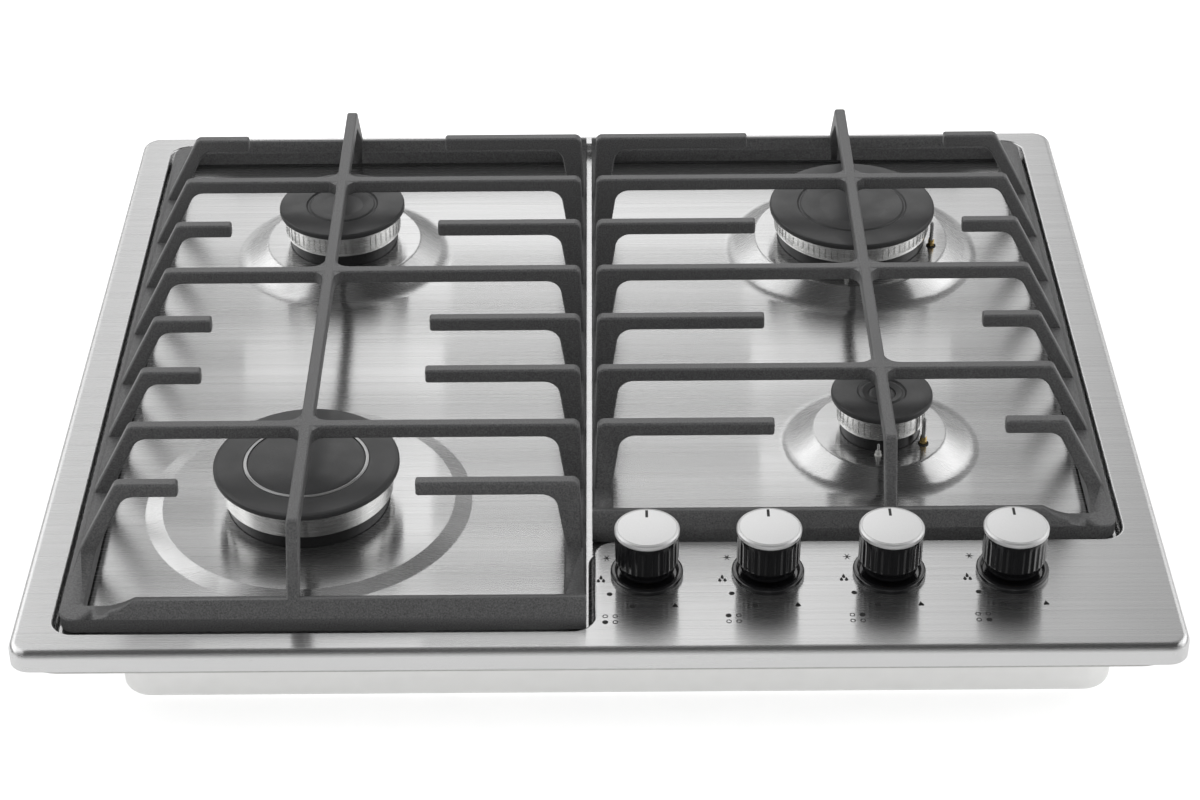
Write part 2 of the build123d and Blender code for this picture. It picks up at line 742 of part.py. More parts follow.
def make_gas_inlet():
    x, z = inlet_x, manifold_z
    wall = box_rear_y - sheet
    start = manifold_rear_y - 8.0
    body = rod_y(x, z, inlet_body_r, start, wall - inlet_flange_t)
    body = body + rod_y(x, z, inlet_flange_r, wall - inlet_flange_t, wall)
    end = wall + sheet + inlet_relief + inlet_thread_length
    body = body + rod_y(x, z, inlet_neck_r, wall - 1, end - inlet_thread_length + 1)
    body = body + rod_y(x, z, inlet_thread_r, end - inlet_thread_length, end)
    body = body - rod_y(x, z, manifold_r + thread_gap, start - 1, manifold_rear_y)
    return body - rod_y(x, z, inlet_bore_r, manifold_rear_y - 1, end + 1)


def pipe_start(x):
    return x, knob_y + valve_depth / 2 + valve_outlet_reach - pipe_socket + 0.5, pipe_z


def pipe_end(b):
    ux, uy = inlet_dir(b)
    reach = inlet_reach(b) - pipe_socket + 0.5
    return b.x + ux * reach, b.y + uy * reach, pipe_z


def make_pipes():
    """Four bent tubes, each from its tap to its burner cup."""
    fl, rl, rr, fr = burners
    via_x = rr.x - 40.6
    bends = [(knob_xs[2], knob_y + 41.5), (via_x, knob_y + 71.5), (via_x, rr.y - 102.2), (rr.x, rr.y - 64.2)]
    routes = {
        "front_left": (knob_xs[0], fl, [(knob_xs[0], fl.y)]),
        "rear_left": (knob_xs[1], rl, [(knob_xs[1], rl.y)]),
        "rear_right": (knob_xs[2], rr, bends),
        "front_right": (knob_xs[3], fr, [(knob_xs[3], fr.y)]),
    }
    pipes = {}
    for name, (x, b, corners) in routes.items():
        points = [pipe_start(x)] + [(px, py, pipe_z) for px, py in corners] + [pipe_end(b)]
        path = FilletPolyline(*points, radius=pipe_bend_r)
        pipes[name] = swept_tube(path, pipe_r, pipe_wall)
        print("pipe", name, "length", round(path.length, 1), "bend radius", pipe_bend_r)
    return pipes


# ---- grates ----
def bar_solid(points, radii, along, centre):
    """Bar cut from a plate of the bar's width, its outline rounded along both faces."""
    face = rounded_profile(points, radii)
    if along == "x":
        bar = extrude(Plane((0, centre, plate_top), x_dir=(1, 0, 0), z_dir=(0, -1, 0)) * face,
                      amount=bar_width / 2, both=True)
        ends = bar.faces().filter_by(Axis.Y)
    else:
        bar = extrude(Plane((centre, 0, plate_top), x_dir=(0, 1, 0), z_dir=(1, 0, 0)) * face,
                      amount=bar_width / 2, both=True)
        ends = bar.faces().filter_by(Axis.X)
    ends = ends.sort_by(SortBy.AREA)[-2:]
    return fillet([e for f in ends for e in f.outer_wire().edges()], bar_round)


def outer_leg(side):
    """Outline points of the leg on the cooktop's outer side, from its top kink to the elbow."""
    low = rail_top - leg_sink
    outer_run = (foot_x - kink_x) / (grate_top - rail_top) * leg_sink
    inner_run = (foot_inner_x - elbow_inner_x) / (grate_top - bar_height - rail_top) * leg_sink
    points = [(kink_x, grate_top), (foot_x + outer_run, low), (foot_inner_x + inner_run, low),
              (elbow_inner_x, grate_top - bar_height)]
    return [(side * x, z) for x, z in points], [kink_r, 0, 0, elbow_r]


def inner_leg(side):
    """Outline points of the upright leg beside the other grate, from elbow to top kink."""
    low = rail_top - leg_sink
    edge = split_x + side * (split_gap / 2 + inner_kink_inset)
    foot = split_x + side * (split_gap / 2 + 1.2)
    points = [(edge + side * (inner_leg_width + inner_elbow_run), grate_top - bar_height),
              (foot + side * inner_leg_width, low), (foot, low), (edge, grate_top)]
    return points, [elbow_r, 0, 0, kink_r]


def row_bars(side, y, full):
    bottom = grate_top - bar_height
    out_pts, out_r = outer_leg(side)
    in_pts, in_r = inner_leg(side)
    if full:
        return [bar_solid(out_pts + in_pts, out_r + in_r, "x", y)]
    stub = out_pts + [(side * stub_end_x, bottom), (side * stub_end_x, grate_top)]
    finger = in_pts + [(side * finger_end_x, grate_top), (side * finger_end_x, bottom)]
    return [bar_solid(stub, out_r + [1.5, 1.5], "x", y), bar_solid(finger, in_r + [1.5, 1.5], "x", y)]


def spine(side, front_y, front_kink_y):
    """Front-to-rear bar with a leg at each end, standing on the front and rear rails."""
    bottom = grate_top - bar_height
    points = [
        (grate_rear_kink_y, grate_top), (grate_rear_y - upstand_lean, upstand_top),
        (grate_rear_y - 1, rail_top), (grate_rear_y - 1, rail_bottom),
        (grate_rear_y - upstand_base, rail_bottom), (grate_rear_y - upstand_base - 1, upstand_top),
        (grate_rear_kink_y - bar_height, bottom), (front_kink_y + bar_height, bottom),
        (front_y + front_base + 1, upstand_top), (front_y + front_base, rail_bottom),
        (front_y + 1, rail_bottom), (front_y + 1, rail_top), (front_y + front_lean, upstand_top),
        (front_kink_y, grate_top),
    ]
    radii = [kink_r, 0, 0, 0, 0, 0, elbow_r, elbow_r, 0, 0, 0, 0, 0, kink_r]
    return bar_solid(points, radii, "y", side * bar_centre_x)


def upstand(side, edge_y, toward):
    """Leaning web along the front or rear rail, dipping to the side rail's level outside."""
    inner = split_x + side * split_gap / 2
    lean, base = (front_lean, front_base) if toward > 0 else (upstand_lean, upstand_base)
    points = [(edge_y, rail_bottom), (edge_y, rail_top), (edge_y + toward * lean, upstand_top),
              (edge_y + toward * (lean + upstand_width), upstand_top), (edge_y + toward * base, rail_bottom)]
    face = make_face(Polyline(*points, close=True))
    start, stop = sorted((inner, side * (rail_outer_x - grate_corner_r)))
    web = extrude(Plane((start, 0, plate_top), x_dir=(0, 1, 0), z_dir=(1, 0, 0)) * face, amount=stop - start)
    y0, y1 = sorted((edge_y - toward, edge_y + toward * (base + 1)))
    bowl_z0 = plate_top + rail_top + dip_radius
    bowl = rod_y(side * dip_start_x, bowl_z0, dip_radius, y0, y1)
    x0, x1 = sorted((side * dip_start_x, side * (rail_outer_x + 1)))
    beyond = block(x0, x1, y0, y1, plate_top + rail_top, bowl_z0)
    return web - bowl - beyond


def rail_ring(side, front_y):
    inner = split_x + side * split_gap / 2
    x0, x1 = sorted((inner, side * rail_outer_x))
    z0, z1 = plate_top + rail_bottom, plate_top + rail_top
    ring = slab(x0, x1, front_y, grate_rear_y, grate_corner_r, z0, z1)
    ring = chamfer(ring.faces().sort_by(Axis.Z)[-1].edges(), 0.8)
    return ring - slab(x0 + rail_width, x1 - rail_width, front_y + front_base, grate_rear_y - upstand_base,
                       2.0, z0 - 1, z1 + 1)


def flare(side, y):
    """Rounded fillets in plan where a full row crosses the spine."""
    plus = Rectangle(bar_width + 2 * flare_r, bar_width - 0.8) + Rectangle(bar_width - 0.8, bar_width + 2 * flare_r)
    inner = [v for v in plus.vertices() if abs(abs(v.X) - abs(v.Y)) < 0.01 and abs(v.X) < bar_width]
    plus = fillet(inner, flare_r)
    z = plate_top + grate_top - bar_height
    star = extrude(Pos(side * bar_centre_x, y, z + 0.6) * plus, amount=bar_height - 0.8)
    return star


def pad_places(side, front_y):
    inner = split_x + side * (split_gap / 2 + pad_inset)
    xs = (inner, side * (rail_outer_x - pad_inset))
    return [(x, y) for x in xs for y in (front_y + pad_inset, grate_rear_y - pad_inset)]


def make_grate(side, rows, full, front_y, front_kink_y):
    grate = rail_ring(side, front_y)
    grate = grate + upstand(side, front_y, 1) + upstand(side, grate_rear_y, -1)
    for i, y in enumerate(rows):
        for bar in row_bars(side, y, i in full):
            grate = grate + bar
    grate = grate + spine(side, front_y, front_kink_y)
    for i in full:
        grate = grate + flare(side, rows[i])
    low = plate_top + rail_bottom
    holes = [drum(x, y, pad_stem_r + thread_gap, low - 1, low + pad_stem + 0.3) for x, y in pad_places(side, front_y)]
    return grate - holes


def make_pads(side, front_y):
    low, high = pan_floor + rest_gap, plate_top + rail_bottom
    return [drum(x, y, pad_r, low, high) + drum(x, y, pad_stem_r, high - 0.5, high + pad_stem)
            for x, y in pad_places(side, front_y)]


# ---- electrical pieces ----
def boxed(centre, size):
    (x, y), (w, d, h) = centre, size
    body = block(x - w / 2, x + w / 2, y - d / 2, y + d / 2, sheet, sheet + h)
    return fillet(body.edges().filter_by(Axis.Z), 3.0)


def make_gland():
    wall = box_rear_y
    gland = rod_y(gland_x, gland_z, gland_flange_r, wall, wall + gland_flange_t)
    gland = gland + rod_y(gland_x, gland_z, gland_neck_r, wall - gland_neck_length, wall + 1)
    return gland - rod_y(gland_x, gland_z, cable_r, wall - gland_neck_length - 1, wall + gland_flange_t + 1)


def main():
    os.makedirs("parts", exist_ok=True)
    export("top_plate", make_top_plate())
    export("worktop_seal", make_worktop_seal())
    export("burner_box", make_burner_box())
    export("box_nuts", *make_box_nuts())
    for b in burners:
        export("burner_cup_" + b.name, make_cup(b))
        export("flame_ring_" + b.name, make_head(b))
        export("burner_cap_" + b.name, make_cap(b) if b.raised else make_ring_cap(b))
    export("inner_cap_front_left", make_inner_cap(burners[0]))
    export("cap_trim_front_left", make_trim(burners[0]))
    export("gas_injectors", *[make_injector(b) for b in burners])
    export("cup_nuts", *[n for b in burners for n in make_cup_nuts(b)])
    export("spark_insulators", *[make_spark(b)[0] for b in burners])
    export("spark_pins", *[make_spark(b)[1] for b in burners])
    export("flame_sensors", *[make_sensor(b) for b in burners])
    export("sensor_nuts", *[make_sensor_nut(b) for b in burners])
    for i, x in enumerate(knob_xs, 1):
        export(f"knob_body_{i}", make_knob_body(x))
        export(f"knob_face_{i}", make_knob_face(x))
        export(f"valve_shaft_{i}", make_shaft(x))
        export(f"return_spring_{i}", make_spring(x))
        export(f"valve_body_{i}", make_valve(x))
    export("knob_bezels", *[make_bezel(x) for x in knob_xs])
    export("ignition_switches", *[make_switch(x) for x in knob_xs])
    export("gas_manifold", make_manifold())
    saddles = [make_saddle(55.0, manifold_y, True), make_saddle(178.0, manifold_y, True),
               make_saddle(manifold_right_x, 60.0, False)]
    export("manifold_saddles", *saddles)
    export("gas_inlet", make_gas_inlet())
    for name, pipe in make_pipes().items():
        export("supply_pipe_" + name, pipe)
    left = (left_front_y, left_front_kink_y)
    right = (right_front_y, right_front_kink_y)
    export("grate_left", make_grate(-1, left_rows, full_rows, *left))
    export("grate_right", make_grate(1, right_rows, right_full_rows, *right))
    export("grate_left_feet", *make_pads(-1, left_front_y))
    export("grate_right_feet", *make_pads(1, right_front_y))
    export("ignition_module", boxed(module_centre, module_size))
    export("terminal_block", boxed(terminal_centre, terminal_size))
    export("mains_gland", make_gland())


main()
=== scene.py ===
import json

import bmesh
import bpy
import numpy as np
from bpy.props import FloatProperty, FloatVectorProperty, IntProperty, PointerProperty
from mathutils import Matrix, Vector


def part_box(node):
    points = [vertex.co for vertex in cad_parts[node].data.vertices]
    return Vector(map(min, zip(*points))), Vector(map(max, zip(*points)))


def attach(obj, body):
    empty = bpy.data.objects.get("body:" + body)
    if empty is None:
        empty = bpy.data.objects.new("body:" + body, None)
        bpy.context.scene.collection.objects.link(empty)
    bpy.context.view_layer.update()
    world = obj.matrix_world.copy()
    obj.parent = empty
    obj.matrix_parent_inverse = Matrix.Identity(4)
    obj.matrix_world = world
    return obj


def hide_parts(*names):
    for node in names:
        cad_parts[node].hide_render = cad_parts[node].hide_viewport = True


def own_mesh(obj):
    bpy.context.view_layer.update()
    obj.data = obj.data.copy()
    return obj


bl_info = {
    "name": "Gas cooktop looks",
    "version": (1, 0, 0),
    "blender": (4, 5, 0),
    "location": "3D View > Sidebar > Cooktop",
    "description": "Surfaces, finishes and studio for the gas cooktop",
    "category": "Object",
}

MM = 0.001
TURN = 2 * np.pi
WIDE = "front_left"
RAISED = ("rear_left", "rear_right", "front_right")
BURNERS = (WIDE, *RAISED)
KNOBS = range(1, 5)

# Burners, in millimetres, as the CAD has them
SPIGOT = 3.0          # length of the spigot under a flame ring
RING_OVER_SEAT = 7.8  # from the plate's seat up to a ring's underside
SKIRT_INSET = 2.9     # from a ring's outer wall in to the cap's skirt
SKIRT_WALL = 1.5      # thickness of that skirt

# Printed marks, in millimetres to the right of a knob's axis and to the rear of it
SPARK_AT, FLAME_AT, LOW_FLAME_AT, PLAN_AT = (-20.2, 13.0), (-23.2, -4.3), (13.6, -25.8), (-18.7, -36.3)
DOTS_AT = ((-18.9, -16.4), (-7.7, -26.3))
# The drops of a flame: right, rear, half width and half height
FLAME = ((-1.3, -1.0, 1.25, 1.6), (1.3, -1.0, 1.25, 1.6), (0.0, 1.6, 1.2, 1.9))
LOW_FLAME = ((-0.6, -0.3, 1.1, 1.2), (0.7, -0.3, 1.1, 1.2), (0.0, 0.8, 1.1, 1.4))
# Which corner of the printed plan each knob's burner has, from the first knob to the fourth
PLAN_CORNERS = ((-1, -1), (-1, 1), (1, 1), (1, -1))

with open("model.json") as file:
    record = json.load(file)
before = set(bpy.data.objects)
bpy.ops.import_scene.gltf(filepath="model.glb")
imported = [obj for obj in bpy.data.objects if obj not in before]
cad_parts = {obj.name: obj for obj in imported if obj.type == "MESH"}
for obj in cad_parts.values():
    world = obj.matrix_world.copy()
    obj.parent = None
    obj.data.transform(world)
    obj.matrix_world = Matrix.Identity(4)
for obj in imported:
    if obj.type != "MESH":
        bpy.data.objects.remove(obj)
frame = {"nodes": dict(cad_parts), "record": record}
NODES = frame["nodes"]
SLOT_OF = {s["node"]: s["material_slot"] for s in frame["record"]["subparts"]}


def mm_box(node):
    """Lowest and highest corner of a CAD node in millimetres."""
    low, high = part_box(node)
    return np.array(low) / MM, np.array(high) / MM


def middle(low, high):
    """Middle of a box in plan."""
    return (low[0] + high[0]) / 2, (low[1] + high[1]) / 2


def half_width(low, high):
    """Half of a box's width, which is the radius of a round node."""
    return (high[0] - low[0]) / 2


PLATE_TOP = mm_box("knob_bezels")[0][2]


# ---------------------------------------------------------------- sizes and colours a user would change
class BurnerSizes(bpy.types.PropertyGroup):
    """Sizes of the burner caps and flame rings."""

    cap_lip: FloatProperty(name="Cap lip radius", description="Rounding of a cap's upper edge",
                           default=0.0012, min=0.0002, max=0.003, unit="LENGTH")
    slots_small: IntProperty(name="Slots, small ring", description="Flame slots round the smallest ring",
                             default=40, min=12, max=90)
    slots_medium: IntProperty(name="Slots, medium ring", description="Flame slots round the medium ring",
                              default=56, min=12, max=120)
    slots_large: IntProperty(name="Slots, large ring", description="Flame slots round the large ring",
                             default=76, min=12, max=160)
    slots_wide: IntProperty(name="Slots, wide ring", description="Flame slots round the ring of the wide cap",
                            default=60, min=12, max=120)
    slot_depth: FloatProperty(name="Slot depth", description="How far a flame slot goes into the ring",
                              default=0.0010, min=0.0003, max=0.003, unit="LENGTH")


class KnobSizes(bpy.types.PropertyGroup):
    """Sizes of the knobs and printed marks."""

    ribs: IntProperty(name="Grip ribs", description="Ribs round a knob's grip", default=30, min=8, max=60)
    rib_depth: FloatProperty(name="Rib depth", description="Depth of the hollow between two ribs",
                             default=0.00045, min=0.0, max=0.0012, unit="LENGTH")
    waist: FloatProperty(name="Waist", description="How much narrower the grip is at its foot",
                         default=0.0020, min=0.0, max=0.004, unit="LENGTH")
    pointer_length: FloatProperty(name="Pointer length", description="Length of the line on the face",
                                  default=0.0060, min=0.002, max=0.012, unit="LENGTH")
    mark_size: FloatProperty(name="Mark size",
                             description="Size of the printed marks, as a share of the drawn one",
                             default=1.0, min=0.5, max=1.5)


class FinishColours(bpy.types.PropertyGroup):
    """Colours of the main finishes."""

    steel: FloatVectorProperty(name="Brushed steel", description="Colour of the top plate's sheet",
                               default=(0.70, 0.70, 0.70), subtype="COLOR", size=3, min=0, max=1)
    iron: FloatVectorProperty(name="Cast iron", description="Colour of the grates",
                              default=(0.104, 0.104, 0.105), subtype="COLOR", size=3, min=0, max=1)
    enamel: FloatVectorProperty(name="Cap enamel", description="Colour of the burner caps",
                                default=(0.035, 0.035, 0.036), subtype="COLOR", size=3, min=0, max=1)
    alloy: FloatVectorProperty(name="Burner alloy", description="Colour of the flame rings",
                               default=(0.83, 0.83, 0.82), subtype="COLOR", size=3, min=0, max=1)
    grip: FloatVectorProperty(name="Knob grip", description="Colour of the knobs' grips and bezels",
                              default=(0.009, 0.009, 0.010), subtype="COLOR", size=3, min=0, max=1)


class StudioLight(bpy.types.PropertyGroup):
    """Strength of the studio's lamps and surroundings."""

    key: FloatProperty(name="Left lamp", description="Power of the large lamp at the left",
                       default=16.0, min=0, unit="POWER")
    side: FloatProperty(name="Right lamp", description="Power of the lamp at the right",
                        default=9.0, min=0, unit="POWER")
    sky: FloatProperty(name="Sky", description="Strength of the light from all around",
                       default=0.55, min=0, max=2)


# ---------------------------------------------------------------- surfaces worked out with numpy
def soften(points, radii, steps=5):
    """A profile whose inner corners become arcs: each arc touches both its lines, at the radius
    over the tangent of half the corner's angle, and is swept by spherical interpolation."""
    p = np.asarray(points, float)
    out = [p[:1]]
    for a, b, c, radius in zip(p[:-2], p[1:-1], p[2:], radii):
        if radius <= 0:
            out.append(b[None])
            continue
        u, w = a - b, c - b
        lu, lw = np.linalg.norm(u), np.linalg.norm(w)
        u, w = u / lu, w / lw
        half = 0.5 * np.arccos(np.clip(u @ w, -0.9999, 0.9999))
        reach = min(radius / np.tan(half), 0.48 * lu, 0.48 * lw)
        centre = b + (u + w) / np.linalg.norm(u + w) * reach / np.cos(half)
        a0, a1 = b + u * reach - centre, b + w * reach - centre
        phi = np.pi - 2 * half
        t = np.linspace(0, 1, steps + 1)[:, None]
        out.append(centre + (np.sin((1 - t) * phi) * a0 + np.sin(t * phi) * a1) / np.sin(phi))
    out.append(p[-1:])
    return np.vstack(out)


def grid_faces(nu, nv, wrap_u=True, wrap_v=False):
    """Four corners of each cell of a grid of nu by nv points, closed along u or v where asked."""
    i, j = np.meshgrid(np.arange(nu if wrap_u else nu - 1), np.arange(nv if wrap_v else nv - 1),
                       indexing="ij")
    i2, j2 = (i + 1) % nu, (j + 1) % nv
    return np.stack([i * nv + j, i2 * nv + j, i2 * nv + j2, i * nv + j2], -1).reshape(-1, 4)


def lathe(profile, x, y, steps=96, swell=None):
    """Profile of (radius, height) turned about a vertical axis: x + r cos t, y + r sin t, z.
    Off the axis, swell(t, z, r) is added to the radius."""
    t = np.arange(steps) * TURN / steps
    r = np.broadcast_to(profile[None, :, 0], (steps, len(profile))).copy()
    if swell is not None:
        r = np.where(r > 0.01, r + swell(t[:, None], profile[None, :, 1], r), r)
    z = np.broadcast_to(profile[None, :, 1], r.shape)
    points = np.stack([x + r * np.cos(t)[:, None], y + r * np.sin(t)[:, None], z], -1)
    return points.reshape(-1, 3), grid_faces(steps, len(profile))


def prism(sides, radius, x, y, low, high, turn):
    """Bar with equal sides and eased ends: a lathe of few steps, closed at both ends at the axis."""
    ease, narrowed = 0.3, radius * 0.92
    profile = np.array([(0.0, low), (narrowed, low), (radius, low + ease),
                        (radius, high - ease), (narrowed, high), (0.0, high)])
    t = np.arange(sides) * TURN / sides + turn
    r, z = profile[None, :, 0], np.broadcast_to(profile[:, 1], (sides, len(profile)))
    points = np.stack([x + r * np.cos(t)[:, None], y + r * np.sin(t)[:, None], z], -1)
    return points.reshape(-1, 3), grid_faces(sides, len(profile))


def coil(x, y, low, high, radius, wire, turns, steps=26, around=8):
    """Wire wound on a helix: the centre line climbs evenly with the angle and lies flat at both
    ends, and a small circle is carried along it in the plane of the axis, to a point at each end."""
    flat_turns = 1.4
    s = np.linspace(0, 1, int(turns * steps) + 1)
    rise = np.clip((s - 0.5) * turns / (turns - flat_turns) + 0.5, 0, 1)
    z = low + wire + (high - low - 2 * wire) * rise
    a = TURN * turns * s
    b = np.arange(around) * TURN / around
    shrink = np.where((s == 0) | (s == 1), 0.0, 1.0)[:, None]
    r = radius - wire + wire * np.cos(b)[None] * shrink
    points = np.stack([x + r * np.cos(a)[:, None], y + r * np.sin(a)[:, None],
                       z[:, None] + wire * np.sin(b)[None] * shrink], -1)
    return points[:, ::-1].reshape(-1, 3), grid_faces(len(s), around, wrap_u=False, wrap_v=True)


def flat_shape(x, y, z, outline):
    """Flat figure: straight lines from its middle to a closed outline of (dx, dy)."""
    ring = np.stack([x + outline[:, 0], y + outline[:, 1], np.full(len(outline), z)], -1)
    centre = np.broadcast_to(np.array([x, y, z]), ring.shape)
    points = np.stack([ring, centre], 1)
    return points.reshape(-1, 3), grid_faces(len(outline), 2)


def flat_ring(x, y, z, outer, inner, steps=20):
    """Flat ring: straight lines from a circle to a smaller one, x + r cos t, y + r sin t."""
    t = np.arange(steps) * TURN / steps
    r = np.array([outer, inner])
    points = np.stack([x + r[None] * np.cos(t)[:, None], y + r[None] * np.sin(t)[:, None],
                       np.full((steps, 2), z)], -1)
    return points.reshape(-1, 3), grid_faces(steps, 2)


def drop_outline(width, height, steps=28):
    """Teardrop: x is the sine of t times a power of the sine of half t, y is the cosine of t."""
    t = np.arange(steps) * TURN / steps
    return np.stack([-width * np.sin(t) * np.sin(t / 2) ** 1.6, height * np.cos(t)], -1)


def star_outline(radius, points=6, steps=48):
    """Star: the radius swings between a small core and its tips with the cosine of the angle."""
    t = np.arange(steps) * TURN / steps
    r = radius * (0.30 + 0.70 * np.abs(np.cos(points * t / 2)) ** 6)
    return np.stack([r * np.cos(t), r * np.sin(t)], -1)


def circle_outline(radius, steps=20):
    """Circle: x is the radius times the cosine of t, y the radius times its sine."""
    t = np.arange(steps) * TURN / steps
    return np.stack([radius * np.cos(t), radius * np.sin(t)], -1)


def build(name, parts, body, material, replaced=(), slot=None, sharp=38.0):
    """One piece from several (points in mm, faces): joined, poles closed, smooth except at sharp edges."""
    counts = np.cumsum([0] + [len(p) for p, _ in parts[:-1]])
    points = np.vstack([p for p, _ in parts]) * MM
    faces = np.vstack([f + c for (_, f), c in zip(parts, counts)])
    mesh = bpy.data.meshes.new(name)
    mesh.from_pydata(points, [], faces)
    return finish_piece(name, mesh, body, material, replaced, slot, sharp)


def finish_piece(name, mesh, body, material, replaced, slot, sharp):
    """Merges doubles, shades the mesh, gives it its material, hides the nodes it replaces and hands the piece
    to its body.
    """
    work = bmesh.new()
    work.from_mesh(mesh)
    bmesh.ops.remove_doubles(work, verts=work.verts, dist=2e-6)
    bmesh.ops.dissolve_degenerate(work, edges=work.edges, dist=1e-7)
    work.to_mesh(mesh)
    work.free()
    mesh.shade_smooth()
    mesh.set_sharp_from_angle(angle=np.radians(sharp))
    mesh.materials.clear()
    mesh.materials.append(material)
    piece = linked(name, mesh)
    if replaced:
        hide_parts(*replaced)
        slot = slot or SLOT_OF[replaced[0]]
    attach(piece, body)
    return piece


def linked(name, data):
    """A new object in the scene."""
    made = bpy.data.objects.new(name, data)
    bpy.context.scene.collection.objects.link(made)
    return made


def merged_copy(name, node, body, material, sharp):
    """A CAD node's own mesh, copied and merged so that its rounded edges shade smoothly."""
    piece = finish_piece(name, NODES[node].data.copy(), body, material, (node,), None, sharp)
    even = piece.modifiers.new("even shading", "WEIGHTED_NORMAL")
    even.mode, even.weight, even.keep_sharp = "FACE_AREA", 100, True


# ---------------------------------------------------------------- finishes
def shader(name):
    """A new material, its tree and its main shader."""
    made = bpy.data.materials.new(name)
    made.use_nodes = True
    return made, made.node_tree, made.node_tree.nodes["Principled BSDF"]


def add(tree, kind, inputs=None, **settings):
    """Adds a shader node, sets its own settings and its inputs."""
    node = tree.nodes.new("ShaderNode" + kind)
    for key, value in settings.items():
        setattr(node, key, value)
    for key, value in (inputs or {}).items():
        node.inputs[key].default_value = value
    return node


def pattern(tree, stretch, detail, rough):
    """Noise on Object coordinates, with so many waves to the metre along each axis."""
    noise = add(tree, "TexNoise", {"Scale": 1.0, "Detail": detail, "Roughness": rough})
    return placed(tree, noise, stretch).outputs["Fac"]


def even_pattern(tree, scale, detail=3.0, rough=0.6):
    """Noise on Object coordinates, alike in all directions."""
    noise = add(tree, "TexNoise", {"Scale": scale, "Detail": detail, "Roughness": rough})
    return placed(tree, noise).outputs["Fac"]


def placed(tree, texture, stretch=(1, 1, 1)):
    """Gives a texture the Object coordinates, stretched along each axis."""
    where = add(tree, "TexCoord")
    place = add(tree, "Mapping", {"Scale": stretch})
    tree.links.new(where.outputs["Object"], place.inputs["Vector"])
    tree.links.new(place.outputs["Vector"], texture.inputs["Vector"])
    return texture


def ranged(tree, source, low, high, start=0.3, end=0.7):
    """Takes a pattern from its own range to another."""
    node = add(tree, "MapRange", {"From Min": start, "From Max": end, "To Min": low, "To Max": high})
    tree.links.new(source, node.inputs["Value"])
    return node.outputs["Result"]


def tinted(tree, source, dark, light, start=0.3, end=0.7):
    """A colour between two by a pattern."""
    ramp = add(tree, "ValToRGB")
    for element, place, colour in zip(ramp.color_ramp.elements, (start, end), (dark, light)):
        element.position, element.color = place, (*colour, 1)
    tree.links.new(source, ramp.inputs["Fac"])
    return ramp.outputs["Color"]


def bumped(tree, bsdf, source, strength, depth, under=None):
    """Small relief from a pattern, on top of the relief under it."""
    node = add(tree, "Bump", {"Strength": strength, "Distance": depth})
    tree.links.new(source, node.inputs["Height"])
    if under is not None:
        tree.links.new(under, node.inputs["Normal"])
    tree.links.new(node.outputs["Normal"], bsdf.inputs["Normal"])
    return node.outputs["Normal"]


def scaled(colour, factor):
    """A colour made lighter or darker."""
    return tuple(min(1.0, c * factor) for c in colour)


def surfaced(tree, bsdf, colour, tone, shades, shine, roughs, metal=0.0):
    """Base colour between two shades by one pattern, roughness between two values by another."""
    dark, light = (scaled(colour, shade) for shade in shades)
    tree.links.new(tinted(tree, tone, dark, light), bsdf.inputs["Base Color"])
    tree.links.new(ranged(tree, shine, *roughs), bsdf.inputs["Roughness"])
    bsdf.inputs["Metallic"].default_value = metal


def brushed_steel(name, colour, rough=0.25, stretch=1.0):
    """Sheet brushed from side to side: fine lines along X, which spread reflections across them."""
    made, tree, bsdf = shader(name)
    lines = pattern(tree, (9, 4200, 240), detail=5.0, rough=0.66)
    broad = pattern(tree, (3, 900, 60), detail=2.0, rough=0.5)
    tree.links.new(tinted(tree, lines, scaled(colour, 0.96), scaled(colour, 1.03)), bsdf.inputs["Base Color"])
    both = add(tree, "Math", operation="ADD")
    tree.links.new(ranged(tree, lines, rough - 0.01, rough + 0.03), both.inputs[0])
    tree.links.new(ranged(tree, broad, -0.01, 0.015), both.inputs[1])
    tree.links.new(both.outputs["Value"], bsdf.inputs["Roughness"])
    bsdf.inputs["Metallic"].default_value = 1.0
    bsdf.inputs["Anisotropic"].default_value = stretch
    facing = add(tree, "NewGeometry")
    across = add(tree, "VectorMath", operation="CROSS_PRODUCT")
    across.inputs[1].default_value = (1.0, 0.0, 0.03)
    tree.links.new(facing.outputs["Normal"], across.inputs[0])
    tree.links.new(across.outputs["Vector"], bsdf.inputs["Tangent"])
    bumped(tree, bsdf, lines, strength=0.03, depth=0.000008)
    return made


def cast_iron(name, colour):
    """Coated casting: fine sandy grain in colour, shine and height over slow unevenness."""
    made, tree, bsdf = shader(name)
    grain = even_pattern(tree, 1300.0, detail=4.0, rough=0.7)
    slow = even_pattern(tree, 60.0, rough=0.5)
    surfaced(tree, bsdf, colour, grain, (0.45, 1.75), grain, (0.36, 0.52))
    under = bumped(tree, bsdf, slow, strength=0.12, depth=0.0004)
    bumped(tree, bsdf, grain, strength=0.7, depth=0.00018, under=under)
    return made


def cap_enamel(name, colour):
    """Matt enamel on a pressed cap: very fine speckle in colour and height, slow change in shine."""
    made, tree, bsdf = shader(name)
    speckle = even_pattern(tree, 2600.0)
    slow = even_pattern(tree, 90.0, detail=2.0, rough=0.5)
    surfaced(tree, bsdf, colour, speckle, (0.6, 1.5), slow, (0.40, 0.48))
    bumped(tree, bsdf, speckle, strength=0.25, depth=0.00005)
    return made


def turned_alloy(name, colour, rough, scale=2600.0):
    """Machined metal: fine tool marks that run round and change with height."""
    made, tree, bsdf = shader(name)
    marks = pattern(tree, (60, 60, scale), detail=3.0, rough=0.6)
    surfaced(tree, bsdf, colour, marks, (0.9, 1.08), marks, (rough - 0.05, rough + 0.08), metal=1.0)
    bumped(tree, bsdf, marks, strength=0.12, depth=0.00004)
    return made


